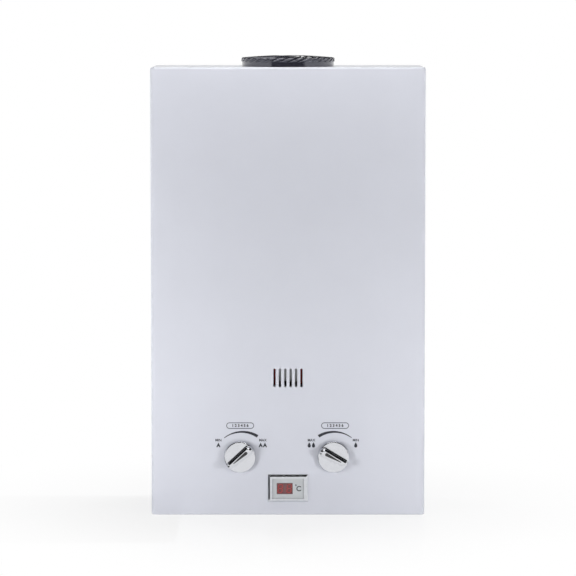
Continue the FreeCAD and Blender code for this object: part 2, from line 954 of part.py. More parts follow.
def electrode_rods():
    rods = []
    for x in electrode_x:
        start_y = electrode_front_y - electrode_stub
        length = electrode_tip_y - start_y
        rods.append(cylinder(x, start_y, electrode_z, BACK, length, electrode_radius))
    return group(rods)


def connector(x, top_z):
    """Male threaded nipple with spanner faces, that stands up through the shelf."""
    y = connector_y
    hex_z = connector_bottom_z + thread_length
    thread = cylinder(x, y, connector_bottom_z, UP, thread_length, thread_radius)
    faces = hexagon(x, y, hex_z, UP, shelf_z - hex_z, connector_hex)
    neck = cylinder(x, y, shelf_z, UP, top_z - shelf_z, connector_radius)
    bore = cylinder(x, y, 0, UP, top_z, connector_bore)
    return join(thread, faces, neck).cut(bore)


def gas_connector():
    return connector(temperature_x, gas_block_z[0])


def cold_connector():
    return connector(water_x, water_block_z[0])


def hot_connector():
    return connector(hot_x, hot_connector_top_z)


def inlet_filter():
    length = filter_z[1] - filter_z[0]
    cup = tube(water_x, connector_y, filter_z[0], UP, length, filter_radius, filter_bore)
    floor = cylinder(water_x, connector_y, filter_z[0], UP, sheet, filter_radius)
    return join(cup, floor)


def pipe_nuts():
    """Lock nuts on the shelf, and union nuts where the water pipes join."""
    nuts = []
    for x in (temperature_x, water_x, hot_x):
        z = shelf_z + shelf_thickness
        body = hexagon(x, connector_y, z, UP, nut_height, nut_hex)
        nuts.append(body.cut(cylinder(x, connector_y, z, UP, nut_height, nut_bore)))
    outlet_z = water_block_z[1] + outlet_boss_height
    for x, y, z in ((hot_x, connector_y, hot_connector_top_z), (outlet_x, rod_y, outlet_z)):
        body = hexagon(x, y, z, UP, union_height, union_hex)
        nuts.append(body.cut(cylinder(x, y, z, UP, union_height, union_bore)))
    return group(nuts)


def gas_valve_body():
    body = round_upright_edges(block(gas_block_x, gas_block_y, gas_block_z), block_round)
    x = temperature_x
    plug_depth = plug_end_y + plug_gap - gas_block_y[0]
    poppet_depth = gas_seat_x - poppet_bore_end_x
    solenoid_depth = solenoid_chamber_end_x - gas_block_x[0]
    tools = [
        cylinder(x, gas_block_y[0], knob_z, BACK, plug_depth, plug_bore),
        cylinder(gas_block_x[1], rod_y, rod_z, LEFT, PAST, rod_bore),
        cylinder(gas_seat_x, rod_y, rod_z, LEFT, poppet_depth, poppet_bore),
        cylinder(gas_block_x[0], rod_y, rod_z, RIGHT, solenoid_depth, poppet_bore),
        cylinder(x, connector_y, gas_block_z[0], UP, rod_z - gas_block_z[0], connector_bore),
        cylinder(x, 0, knob_z, BACK, rod_y, channel_radius),
        cylinder(x, outlet_y, knob_z, UP, gas_block_z[1] - knob_z, port_radius),
    ]
    for side in (-1, 1):
        screw_x = x + side * bonnet_screw_offset
        depth = PAST + sheet
        tools.append(cylinder(screw_x, gas_block_y[0], knob_z, BACK, depth, screw_hole_radius))
    return body.cut(tools)


def gas_valve_bonnet():
    x = temperature_x
    flange_y = gas_block_y[0] - bonnet_thickness
    flange = cylinder(x, flange_y, knob_z, BACK, bonnet_thickness, bonnet_radius)
    neck = cylinder(x, neck_front_y, knob_z, BACK, flange_y - neck_front_y, neck_radius)
    tools = spindle_tools(x, gas_block_y[0])
    for side in (-1, 1):
        screw_x = x + side * bonnet_screw_offset
        tools.append(cylinder(screw_x, flange_y, knob_z, BACK, PAST, screw_hole_radius))
    return join(flange, neck).cut(tools)


def spindle_tools(x, end_y):
    """Bore for a spindle and the groove for its seal."""
    bore = cylinder(x, neck_front_y, knob_z, BACK, end_y - neck_front_y, spindle_bore)
    groove = cylinder(x, seal_y, knob_z, BACK, seal_groove_width, seal_groove_radius)
    return [bore, groove]


def spindle_shaft(x, end_y, angle):
    """Spindle from its valve to the knob, with a flat at the knob's end."""
    shaft = cylinder(x, spindle_tip_y, knob_z, BACK, end_y - spindle_tip_y, spindle_radius)
    flat = block(
        centred(x, 2 * PAST),
        (spindle_tip_y, spindle_tip_y + spindle_flat_length),
        (knob_z + spindle_flat, knob_z + PAST),
    )
    flat.rotate(V(x, 0, knob_z), BACK, angle)
    return shaft.cut(flat)


def gas_spindle():
    """Spindle with a plug cock at its end."""
    plug_y = gas_block_y[0] + plug_gap
    length = plug_end_y - plug_y
    plug = cylinder(temperature_x, plug_y, knob_z, BACK, length, plug_radius)
    gate = cylinder(temperature_x, outlet_y, knob_z, UP, plug_bore + PAST, channel_radius)
    pocket = cylinder(temperature_x, outlet_y, knob_z, BACK, length, channel_radius)
    return join(spindle_shaft(temperature_x, plug_y, temperature_angle), plug).cut([gate, pocket])


def water_spindle():
    """Spindle with a tapered needle at its end."""
    shaft = spindle_shaft(water_x, needle_y[0], water_angle)
    length = needle_y[1] - needle_y[0]
    needle = cylinder(water_x, needle_y[0], knob_z, BACK, length, needle_radius)
    point = Part.makeCone(
        needle_radius, needle_tip_radius, needle_tip_y - needle_y[1],
        V(water_x, needle_y[1], knob_z), BACK,
    )
    return join(shaft, needle, point)


def spindle_seals():
    seals = []
    for x in (temperature_x, water_x):
        middle = V(x, seal_y + seal_groove_width / 2, knob_z)
        seals.append(Part.makeTorus(seal_ring_radius, seal_wire_radius, middle, BACK))
    return group(seals)


def solenoid_coil():
    length = solenoid_x[1] - solenoid_x[0]
    can = cylinder(solenoid_x[0], rod_y, rod_z, RIGHT, length, solenoid_radius)
    flange = block(
        (solenoid_x[1], gas_block_x[0]),
        centred(rod_y, 2 * solenoid_flange_half),
        centred(rod_z, 2 * solenoid_flange_half),
    )
    bore_x = solenoid_x[0] + solenoid_floor
    bore = cylinder(bore_x, rod_y, rod_z, RIGHT, length + PAST, solenoid_bore)
    return join(can, flange).cut(bore)


def solenoid_plunger():
    length = plunger_x[1] - plunger_x[0]
    rod = cylinder(plunger_x[0], rod_y, rod_z, RIGHT, length, plunger_radius)
    disc = cylinder(plunger_x[1], rod_y, rod_z, RIGHT, plunger_disc, poppet_radius)
    return join(rod, disc)


def gas_poppet():
    return cylinder(gas_seat_x - poppet_gap, rod_y, rod_z, LEFT, poppet_thickness, poppet_radius)


def return_spring():
    """Coil spring behind the poppet, a quarter turn to each arc."""
    start_x = poppet_bore_end_x + spring_wire
    end_x = gas_seat_x - poppet_gap - poppet_thickness - spring_wire
    steps = 4 * spring_turns
    points = []
    for step in range(steps + 1):
        angle = math.radians(90 * step)
        reach = spring_radius * math.sqrt(2)
        x = start_x + (end_x - start_x) * step / steps
        points.append((x, rod_y + reach * math.cos(angle), rod_z + reach * math.sin(angle)))
    return bar_along(points, spring_radius * 0.98, spring_wire)


def gas_riser_pipe():
    points = [
        (temperature_x, outlet_y, gas_block_z[1]),
        (temperature_x, outlet_y, gas_riser_turn_z),
        (temperature_x, manifold_y, gas_riser_turn_z),
        (temperature_x, manifold_y, bar_tube_z - manifold_radius),
    ]
    return pipe_along(points, gas_riser_bend, gas_riser_radius)


def flange_screw_places():
    """Where the water valve's flange screws sit, as Y and Z."""
    places = []
    for index in range(flange_screw_count):
        angle = math.radians(360 * (index + 0.5) / flange_screw_count)
        y = rod_y + flange_screw_circle * math.cos(angle)
        places.append((y, rod_z + flange_screw_circle * math.sin(angle)))
    return places


def flange_screw_holes(start_x, length):
    holes = []
    for y, z in flange_screw_places():
        holes.append(cylinder(start_x, y, z, RIGHT, length, screw_hole_radius))
    return holes


def water_valve_body():
    x = water_x
    face_x = water_block_x[0] - flange_thickness
    body = round_upright_edges(block(water_block_x, water_block_y, water_block_z), block_round)
    flange = cylinder(face_x, rod_y, rod_z, RIGHT, flange_thickness + block_round, flange_radius)
    top_z = water_block_z[1]
    outlet = cylinder(outlet_x, rod_y, top_z, UP, outlet_boss_height, outlet_boss_radius)
    boss_length = water_block_y[0] - boss_front_y
    boss = cylinder(x, boss_front_y, knob_z, BACK, boss_length, boss_radius)
    neck_length = boss_front_y - neck_front_y
    neck = cylinder(x, neck_front_y, knob_z, BACK, neck_length, water_neck_radius)
    needle_start_y = needle_y[0] - plug_gap
    needle_length = needle_bore_end_y - needle_start_y
    port_height = knob_z - water_block_z[0]
    top_reach = top_z + outlet_boss_height - outlet_bore_start_z
    tools = spindle_tools(x, needle_start_y) + [
        cylinder(x, needle_start_y, knob_z, BACK, needle_length, needle_bore),
        cylinder(face_x, rod_y, rod_z, RIGHT, chamber_depth, chamber_radius),
        cylinder(x, connector_y, water_block_z[0], UP, port_height, connector_bore),
        cylinder(x, 0, knob_z, BACK, connector_y, channel_radius),
        cylinder(outlet_x, rod_y, outlet_bore_start_z, UP, top_reach, outlet_bore),
        cylinder(face_x, rod_y, outlet_bore_start_z, RIGHT, outlet_x - face_x, channel_radius),
    ]
    tools.extend(flange_screw_holes(face_x, flange_thickness))
    return join(body, flange, outlet, boss, neck).cut(tools)


def diaphragm():
    face_x = water_block_x[0] - flange_thickness - diaphragm_thickness
    disc = cylinder(face_x, rod_y, rod_z, RIGHT, diaphragm_thickness, flange_radius)
    return disc.cut(flange_screw_holes(face_x, diaphragm_thickness))


def cover_back_x():
    """The face where the diaphragm cover clamps the diaphragm."""
    return water_block_x[0] - flange_thickness - diaphragm_thickness


def diaphragm_cover():
    back_x = cover_back_x()
    front_x = back_x - flange_thickness
    disc = cylinder(front_x, rod_y, rod_z, RIGHT, flange_thickness, flange_radius)
    boss = cylinder(front_x, rod_y, rod_z, LEFT, cover_boss_length, cover_boss_radius)
    chamber = cylinder(back_x, rod_y, rod_z, LEFT, cover_depth, chamber_radius)
    bore = cylinder(front_x - PAST, rod_y, rod_z, RIGHT, 2 * PAST, rod_bore)
    holes = flange_screw_holes(front_x, flange_thickness)
    return join(disc, boss).cut([chamber, bore] + holes)


def diaphragm_screws():
    front_x = cover_back_x() - flange_thickness
    length = 2 * flange_thickness + diaphragm_thickness - sheet
    return group(screw(front_x, y, z, RIGHT, length) for y, z in flange_screw_places())


def push_rod():
    """Rod that the diaphragm pushes, with its plate and the collar that moves the switch."""
    plate_x = cover_back_x() - plate_gap - plate_thickness
    plate = cylinder(plate_x, rod_y, rod_z, RIGHT, plate_thickness, plate_radius)
    end_x = gas_seat_x - poppet_gap
    rod = cylinder(end_x, rod_y, rod_z, RIGHT, plate_x - end_x, rod_radius)
    collar_x = lever_x + lever_half_thickness + lever_gap
    collar = cylinder(
        collar_x, rod_y, rod_z, RIGHT, collar_on_rod_length, collar_on_rod_radius
    )
    return join(plate, rod, collar)


def cold_pipe():
    side_x = jacket_x + coil_offset
    rear_y = jacket_y[1] + coil_offset
    points = [
        (outlet_x, rod_y, water_block_z[1] + outlet_boss_height),
        (outlet_x, rod_y, cold_pipe_turn_z),
        (side_x, rear_y, cold_pipe_side_z),
        (side_x, rear_y, coil_start_z),
    ]
    return pipe_along(points, cold_pipe_bend, tube_radius)


def hot_pipe():
    front_y = fin_tube_ys()[-1]
    points = [
        (fin_tube_exit_x, front_y, fin_tube_z),
        (hot_pipe_x, front_y, fin_tube_z),
        (hot_pipe_x, front_y, hot_pipe_low_z),
        (hot_x, connector_y, hot_pipe_join_z),
        (hot_x, connector_y, hot_connector_top_z),
    ]
    return pipe_along(points, hot_pipe_bend, tube_radius)


def relief_valve():
    x = water_block_x[1]
    body = cylinder(x, relief_y, relief_z, RIGHT, relief_length, relief_radius)
    end_x = x + relief_length
    return body.cut(cylinder(end_x, relief_y, relief_z, LEFT, relief_bore_depth + 1, relief_bore))


def relief_cap():
    """Winged cap with a stem in the relief valve's bore."""
    start_x = water_block_x[1] + relief_length + relief_cap_gap
    cap = cylinder(start_x, relief_y, relief_z, RIGHT, relief_cap_length, relief_cap_radius)
    stem_length = relief_bore_depth + relief_cap_gap
    stem = cylinder(start_x, relief_y, relief_z, LEFT, stem_length, relief_stem_radius)
    wing_x = start_x + relief_cap_length
    wing = block(
        (wing_x, wing_x + relief_wing_length),
        centred(relief_y, 2 * relief_cap_radius - 2),
        centred(relief_z, 2 * relief_wing_half),
    )
    return join(cap, stem, wing)


def control_box():
    body = block(control_x, (control_y, pan_front_y), control_z)
    return round_edges(body, control_round, lambda c: at(c.y, control_y))


def micro_switch():
    """Switch body with two ears and the pin that carries its lever."""
    body = block(switch_x, switch_y, switch_z)
    ears = []
    for y in (switch_y[0], switch_y[1] - switch_ear):
        ears.append(block(switch_ear_x, (y, y + switch_ear), (switch_ear_z, switch_z[0])))
    width = switch_y[1] - switch_y[0]
    pin = cylinder(lever_x, switch_y[0], lever_pivot_z, BACK, width, lever_pin_radius)
    arm = block((gas_block_x[1], switch_x[0]), switch_arm_y, switch_arm_z)
    return join(body, arm, pin, *ears)


def switch_lever():
    """Forked blade that straddles the push rod and hangs from the switch's pin."""
    x = centred(lever_x, 2 * lever_half_thickness)
    blade = block(x, lever_y, (lever_bottom_z, lever_pivot_z))
    width = lever_y[1] - lever_y[0]
    barrel = cylinder(lever_x, lever_y[0], lever_pivot_z, BACK, width, lever_barrel_radius)
    notch = block(inset(x, -PAST), lever_notch_y, (lever_bottom_z - PAST, lever_notch_z))
    bore = cylinder(lever_x, lever_y[0], lever_pivot_z, BACK, width, lever_barrel_bore)
    return join(blade, barrel).cut([notch, bore])


def battery_box():
    outer = block(battery_x, battery_y, battery_z)
    inner_z = (battery_z[0] - PAST, battery_z[1] - battery_wall)
    inner = block(inset(battery_x, battery_wall), inset(battery_y, battery_wall), inner_z)
    ear = block(box_knuckle, (battery_y[1], box_knuckle_back_y), (battery_z[0], box_knuckle_top_z))
    knuckle = cylinder(
        box_knuckle[0], hinge_y, hinge_z, RIGHT, box_knuckle[1] - box_knuckle[0], knuckle_radius
    )
    neck_z = (hinge_z, battery_z[0])
    neck_y = centred(hinge_y, 2 * knuckle_radius)
    neck = block(box_knuckle, neck_y, neck_z)
    pin_start_x = door_knuckles[0][0]
    pin_length = door_knuckles[1][1] - pin_start_x
    pin = cylinder(pin_start_x, hinge_y, hinge_z, RIGHT, pin_length, hinge_pin_radius)
    shell = join(outer.cut(inner), ear)
    return join(shell, neck, knuckle, pin)


def battery_door():
    plate = block(battery_x, (battery_y[0], door_back_y), door_z)
    parts = []
    bores = []
    for ends in door_knuckles:
        length = ends[1] - ends[0]
        parts.append(cylinder(ends[0], hinge_y, hinge_z, RIGHT, length, knuckle_radius))
        parts.append(block(ends, (door_back_y, hinge_y), (door_z[0], door_z[1])))
        bores.append(cylinder(ends[0], hinge_y, hinge_z, RIGHT, length, knuckle_bore))
    return join(plate, *parts).cut(bores)


def battery_cells():
    cells = []
    middle_x = sum(battery_x) / 2
    y = sum(battery_y) / 2
    for x in (middle_x - cell_offset, middle_x + cell_offset):
        can = cylinder(x, y, cell_z[0], UP, cell_z[1] - cell_z[0], cell_radius)
        cap = cylinder(x, y, cell_z[1], UP, cell_cap_height, cell_cap_radius)
        cells.append(join(can, cap))
    return group(cells)


def display_bezel():
    """Bevelled frame with a collar that goes through the casing."""
    front_y = face_y - bezel_proud
    frame = block(
        centred(0, bezel_width), (front_y, face_y), centred(display_z, bezel_height)
    )
    front_edges = [edge for edge in frame.Edges if at(edge.CenterOfMass.y, front_y)]
    frame = frame.makeChamfer(bezel_bevel, front_edges)
    collar = block(
        centred(0, collar_width), (face_y, face_y + collar_depth),
        centred(display_z, collar_height),
    )
    opening = block(
        centred(0, panel_width), (front_y - PAST, face_y + PAST),
        centred(display_z, panel_height),
    )
    return join(frame, collar).cut(opening)


def display_panel():
    plate = block(
        centred(0, panel_width - panel_fit), (face_y - panel_proud, face_y + panel_back),
        centred(display_z, panel_height - panel_fit),
    )
    window = block(
        centred(window_x, window_width), (face_y - PAST, face_y + PAST),
        centred(window_z, window_height),
    )
    return plate.cut(window)


def display_lens():
    return block(
        centred(window_x, window_width - panel_fit),
        (face_y - panel_proud + lens_sunk, face_y + panel_back),
        centred(window_z, window_height - panel_fit),
    )


def display_board():
    return block(
        centred(0, panel_width - panel_fit), (face_y + panel_back, board_back_y),
        centred(display_z, panel_height - panel_fit),
    )


def pear_outline(head_z, head_radius, tail_z, tail_radius, y):
    """Outline of two round ends joined by tangent lines, in the plane of the front."""
    span = head_z - tail_z
    lean = math.asin((head_radius - tail_radius) / span)
    across = V(math.cos(lean), 0, math.sin(lean))
    across_back = V(-math.cos(lean), 0, math.sin(lean))
    head = V(0, y, head_z)
    tail = V(0, y, tail_z)
    edges = [
        Part.LineSegment(tail + across * tail_radius, head + across * head_radius).toShape(),
        Part.Arc(
            head + across * head_radius, head + UP * head_radius, head + across_back * head_radius
        ).toShape(),
        Part.LineSegment(
            head + across_back * head_radius, tail + across_back * tail_radius
        ).toShape(),
        Part.Arc(
            tail + across_back * tail_radius, tail + DOWN * tail_radius,
            tail + across * tail_radius,
        ).toShape(),
    ]
    return Part.Wire(edges)


def inlay_form():
    """Teardrop pointer sunk in the grip, upright, about the knob's own axis."""
    outline = pear_outline(
        inlay_head_z, inlay_head_radius, inlay_tail_z, inlay_tail_radius, -knob_height
    )
    return Part.Face(outline).extrude(BACK * inlay_depth)


def grip_outline(narrower, y):
    """The grip's outline, drawn in all round by a distance."""
    return pear_outline(
        grip_head_z, grip_head_radius - narrower, grip_tail_z, grip_tail_radius - narrower, y
    )


def knob_form():
    """Round knob with a raised pear-shaped grip, upright, about its own axis."""
    disc = Part.makeCone(knob_radius, knob_rim_radius, knob_disc_height, V(0, 0, 0), FRONT)
    disc = round_edges(disc, knob_edge_round, lambda c: at(c.y, -knob_disc_height))
    shoulder_y = grip_bevel_depth - knob_height
    base = grip_outline(-grip_draft, -knob_disc_height / 2)
    shoulder = grip_outline(0, shoulder_y)
    top = grip_outline(grip_bevel, -knob_height)
    grip = round_edges(
        Part.makeLoft([base, shoulder, top], True, True), grip_edge_round,
        lambda c: at(c.y, -knob_height) or at(c.y, shoulder_y),
    )
    hollow = tube(0, 0, 0, FRONT, knob_hollow_depth, knob_hollow_outer, knob_hollow_inner)
    socket = cylinder(0, 0, 0, FRONT, knob_socket_depth, spindle_radius + cutout_gap / PAST)
    return join(disc, grip).cut([hollow, socket, inlay_form()])


def on_the_front(form, x, angle):
    """Turn a knob's piece about its axis and set it on the casing."""
    placed = form.copy()
    placed.rotate(V(0, 0, 0), BACK, angle)
    placed.translate(V(x, face_y - knob_gap, knob_z))
    return placed


def temperature_knob():
    return on_the_front(knob_form(), temperature_x, temperature_angle)


def temperature_pointer():
    return on_the_front(inlay_form(), temperature_x, temperature_angle)


def water_knob():
    return on_the_front(knob_form(), water_x, water_angle)


def water_pointer():
    return on_the_front(inlay_form(), water_x, water_angle)


def electrode_lead(x, electrode):
    """Lead from the control box, up behind the manifold, to the front of an electrode."""
    end_y = electrode_front_y - electrode_stub
    turn_z = electrode_z - 4 * lead_bend
    return [
        (x, control_y, lead_level_z),
        (x, lead_passage_y, lead_level_z),
        (x, lead_passage_y, turn_z),
        (electrode, end_y + lead_radius, turn_z + 2 * lead_bend),
        (electrode, end_y + lead_radius, electrode_z - lead_radius),
    ]


def wiring_leads():
    switch_x_middle = sum(switch_x) / 2
    battery_x_middle = sum(battery_x) / 2
    battery_y_middle = sum(battery_y) / 2
    board_top_z = display_z + panel_height / 2
    control_middle_y = (control_y + pan_front_y) / 2
    battery_turn_z = battery_z[1] + 8 * lead_bend
    display_turn_z = board_top_z + 2 * lead_bend
    board_y = board_back_y - lead_bend
    switch_turn_z = switch_z[1] + 3 * lead_bend
    routes = [
        electrode_lead(spark_lead_x, electrode_x[0]),
        electrode_lead(sense_lead_x, electrode_x[-1]),
        [
            (battery_x_middle, battery_y_middle, battery_z[1]),
            (battery_x_middle, battery_y_middle, battery_turn_z),
            (battery_x_middle, control_middle_y, battery_turn_z),
            (control_x[0], control_middle_y, battery_turn_z),
        ],
        [
            (0, board_y, board_top_z - panel_fit / 2),
            (0, board_y, display_turn_z),
            (0, control_middle_y, display_turn_z),
            (0, control_middle_y, control_z[0]),
        ],
        [
            (switch_x_middle, rod_y, switch_z[1]),
            (switch_x_middle, rod_y, switch_turn_z),
            (switch_x_middle, control_y, switch_turn_z),
        ],
    ]
    return group(bar_along(route, lead_bend, lead_radius) for route in routes)


SUB_PARTS = [
    front_casing, back_plate, pipe_bracket, exchanger_brackets, pan_head_screws,
    flue_hood, flue_collar, flue_guard,
    combustion_jacket, jacket_coil, fin_casing, heat_fins, fin_tube, overheat_sensor,
    burner_bars, burner_frame, gas_manifold, gas_jets, electrode_insulators, electrode_rods,
    gas_connector, gas_valve_body, gas_valve_bonnet, gas_spindle, gas_poppet, return_spring,
    solenoid_coil, solenoid_plunger, gas_riser_pipe,
    cold_connector, inlet_filter, water_valve_body, diaphragm_cover, diaphragm,
    diaphragm_screws, push_rod, water_spindle, spindle_seals, cold_pipe, hot_pipe,
    hot_connector, pipe_nuts, relief_valve, relief_cap,
    control_box, micro_switch, switch_lever, wiring_leads,
    battery_box, battery_door, battery_cells,
    display_bezel, display_panel, display_lens, display_board,
    temperature_knob, temperature_pointer, water_knob, water_pointer,
]

os.makedirs("parts", exist_ok=True)
for make in SUB_PARTS:
    make().exportStep(f"parts/{make.__name__}.step")
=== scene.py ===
import math
from collections import namedtuple

import bmesh
import bpy
from mathutils import Matrix, Vector

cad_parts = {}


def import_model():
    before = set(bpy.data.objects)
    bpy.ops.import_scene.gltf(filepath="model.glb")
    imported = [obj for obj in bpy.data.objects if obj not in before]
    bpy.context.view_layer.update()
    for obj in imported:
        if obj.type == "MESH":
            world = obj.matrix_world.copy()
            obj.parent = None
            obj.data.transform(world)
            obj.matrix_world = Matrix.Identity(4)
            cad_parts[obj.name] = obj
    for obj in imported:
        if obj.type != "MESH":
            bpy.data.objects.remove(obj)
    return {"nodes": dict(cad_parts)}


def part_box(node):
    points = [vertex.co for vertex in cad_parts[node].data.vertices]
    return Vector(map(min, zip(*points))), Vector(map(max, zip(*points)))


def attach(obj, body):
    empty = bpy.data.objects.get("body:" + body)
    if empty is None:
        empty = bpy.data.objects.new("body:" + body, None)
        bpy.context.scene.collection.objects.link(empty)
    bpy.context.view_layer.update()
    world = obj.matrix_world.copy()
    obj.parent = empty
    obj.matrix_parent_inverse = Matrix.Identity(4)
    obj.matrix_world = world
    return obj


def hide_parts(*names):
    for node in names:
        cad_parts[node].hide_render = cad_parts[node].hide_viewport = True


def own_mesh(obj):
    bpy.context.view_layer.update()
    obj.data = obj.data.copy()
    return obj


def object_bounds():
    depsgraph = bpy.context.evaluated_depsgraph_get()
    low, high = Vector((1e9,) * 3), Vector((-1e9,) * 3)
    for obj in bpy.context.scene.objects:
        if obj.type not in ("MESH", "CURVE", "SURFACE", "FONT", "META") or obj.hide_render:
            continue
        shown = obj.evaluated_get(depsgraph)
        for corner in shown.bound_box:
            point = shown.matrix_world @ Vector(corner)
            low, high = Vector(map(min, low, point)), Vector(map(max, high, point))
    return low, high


# Looks of a wall-hung gas water heater with an open flue. Lengths are in metres, +Z is up,
# and the front faces -Y, as in the frame.

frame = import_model()
nodes = frame["nodes"]
cad_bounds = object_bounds()

MM = 0.001


def node_middle(name):
    low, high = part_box(name)
    return (low + high) / 2


# Places taken from the frame
FACE_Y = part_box("front_casing")[0].y
PANEL_LOW, PANEL_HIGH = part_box("display_panel")
LENS_LOW, LENS_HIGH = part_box("display_lens")
GUARD_LOW, GUARD_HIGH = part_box("flue_guard")
GUARD_RADIUS = (GUARD_HIGH.x - GUARD_LOW.x) / 2
COLLAR_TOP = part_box("flue_collar")[1].z
FLUE_Y = node_middle("flue_collar").y

# Printing: its thickness, how far it reaches into what it is printed on, how close points are
# before they become one, and the share of Y in a normal below which a face is a side wall
INK = 0.06 * MM
INK_SINK = 0.02 * MM
WELD = 0.001 * MM
WALL_FACING = 0.5

# Arc, label and outlined scale at each knob
ARC_RADIUS = 35.0 * MM
ARC_DROP = 5.0 * MM
ARC_THIN = 0.8 * MM
ARC_THICK = 3.6 * MM
ARC_STEPS = 40
PILL_WIDTH = 33.6 * MM
PILL_HEIGHT = 7.8 * MM
PILL_LINE = 0.9 * MM
PILL_RISE = 37.6 * MM
PILL_STEPS = 12
PILL_TEXT = "1 2 3 4 5 6"
PILL_TEXT_SIZE = 4.6 * MM
PILL_TEXT_BOLD = 0.2 * MM
LABEL_SIZE = 4.2 * MM
LABEL_BOLD = 0.12 * MM
LABEL_RISE = 19.8 * MM
LABEL_REACH = 26.8 * MM

# The knobs' dials: which side reads MIN, -1 for left, how far the printing is off the knob's
# axis, and the arc's angles in degrees clockwise from upright and widths, from left to right
Dial = namedtuple(
    "Dial", "name axis low_side arc_shift arc_angles arc_widths pill_shift label_shift"
)
DIALS = (
    Dial(
        "temperature", node_middle("temperature_knob"), -1, 2.5 * MM, (-38, 32.5),
        (ARC_THIN, ARC_THICK), 0.3 * MM, 0.8 * MM,
    ),
    Dial(
        "water", node_middle("water_knob"), 1, 0.6 * MM, (-32.5, 37),
        (ARC_THICK, ARC_THIN), 1.8 * MM, 0.0,
    ),
)

# Flame and drop icons. The flame's left edge runs from its tip to the notch below, in shares
# of half its width and of its height
ICON_RISE = 14.2 * MM
ICON_PITCH = 5.2 * MM
FLAME_WIDTH = 4.9 * MM
FLAME_HEIGHT = 6.1 * MM
FLAME_NOTCH = 0.28
FLAME_EDGE = (
    (-0.28, 0.72), (-0.62, 0.45), (-0.88, 0.22), (-1.0, 0.08), (-0.86, 0.0), (-0.5, 0.02),
    (-0.36, 0.12), (-0.15, 0.24),
)
DROP_WIDTH = 5.0 * MM
DROP_HEIGHT = 6.6 * MM
DROP_FULLNESS = 1.05
DROP_DRAW_IN = 1.3
DROP_STEPS = 20

# Digits behind the window. A bar runs between two places, in shares across and up the digit,
# and its tip and shoulder are in shares of its line
DIGIT_COUNT = 2
DIGIT_WIDTH = 4.8 * MM
DIGIT_HEIGHT = 9.6 * MM
DIGIT_LINE = 1.25 * MM
DIGIT_PITCH = 10.8 * MM
DIGIT_SLANT = math.radians(6)
BAR_TIP = 0.12
BAR_SHOULDER = 0.62
BARS = (
    ((0, 1), (1, 1)), ((0, 0.5), (0, 1)), ((1, 0.5), (1, 1)), ((0, 0.5), (1, 0.5)),
    ((0, 0), (0, 0.5)), ((1, 0), (1, 0.5)), ((0, 0), (1, 0)),
)

# Degree sign and letter beside the window, up from the panel's lower edge
CELSIUS_SIZE = 8.6 * MM
CELSIUS_BOLD = 0.2 * MM
CELSIUS_SHIFT = 0.6 * MM
CELSIUS_RISE = 11.6 * MM
DEGREE_SHIFT = 3.9 * MM
DEGREE_RISE = 16.1 * MM
DEGREE_RADII = (1.0 * MM, 0.35 * MM)
DEGREE_STEPS = 20

# Guard vanes: the twist is in degrees at a radius, the share is half a vane's width in its
# pitch, an end starts at a share of the rise, and the sides are shares of half a vane
VANE_COUNT = 30
VANE_START_RADIUS = 12.0 * MM
VANE_STEP = 3.0 * MM
VANE_TWIST = ((VANE_START_RADIUS, 0.0), (31.0 * MM, -26.0), (49.5 * MM, -40.0))
VANE_SHARE = 0.34
VANE_RISE = 1.0 * MM
VANE_SINK = 0.15 * MM
VANE_END = 0.25
VANE_END_GAIN = 0.4
VANE_SIDES = (-1.0, -0.85, -0.5, 0.0, 0.5, 0.85, 1.0)

# Where the vanes bend over the collar's rim: inwards, down, turned on in degrees, and leaning
COLLAR_RADIUS = 56.0 * MM
VANE_RIM = ((0.6 * MM, 0.0, 0.0, 0.3), (0.1 * MM, 0.3 * MM, -1.0, 0.7))
VANE_WALL_START = 0.8 * MM
VANE_WALL_STEP = 0.63 * MM
VANE_WALL_STATIONS = 7
VANE_WALL_TWIST = -2.6 / MM

# Coiled pieces. The thread's section is in offsets outwards and along the pipe
COIL_STEPS = 32
SPRING_TURNS = 6
SPRING_WIRE = 0.6 * MM
SPRING_WIRE_STEPS = 10
SPRING_RADIUS = 5.6 * MM
SPRING_SLACK = 0.1 * MM
THREAD_PITCH = 1.814 * MM
THREAD_TURNS = 8
THREAD_START = 6.9 * MM
THREAD_RADIUS = 10.4775 * MM
THREAD_SECTION = (
    (-0.1 * MM, -0.75 * MM), (0.14 * MM, -0.1 * MM), (0.14 * MM, 0.1 * MM), (-0.1 * MM, 0.75 * MM),
)

# Camera
CAMERA_DISTANCE = 3.75
CAMERA_HEIGHT = 0.61
CAMERA_REACH = 100
AIM_HEIGHT = 0.2753
LENS_MM = 195.8
SENSOR_MM = 36.0

# Floor, which the eye sees fade to white away from the object
FLOOR_HALF = 14.0
FLOOR_GAP = 0.0002
FLOOR_ROUGH = 0.22
FLOOR_GLOSS = 0.35
FLOOR_PATCH = 0.4
FLOOR_GREYS = (0.93, 0.95)
FLOOR_FADE = 0.5
FLOOR_GLOW = 0.7

# Dark cards round the stage, and one on the floor at the object's left side
FLAG_SIDE = 2.3
FLAG_FRONT = -4.6
FLAG_FRONT_HALF = 4.1
FLAG_BACK = 1.3
FLAG_LOW = 1.0
FLAG_BACK_LOW = 0.75
FLAG_TOP = 2.6
FLAG_TABLE = 0.002
FLAG_TABLE_X = (-0.6, -0.13)
FLAG_TABLE_Y = (-0.25, 0.1)
FLAG_ROUGH = 0.9
FLAG_PATCH = 0.05
FLAG_GREYS = (0.008, 0.012)

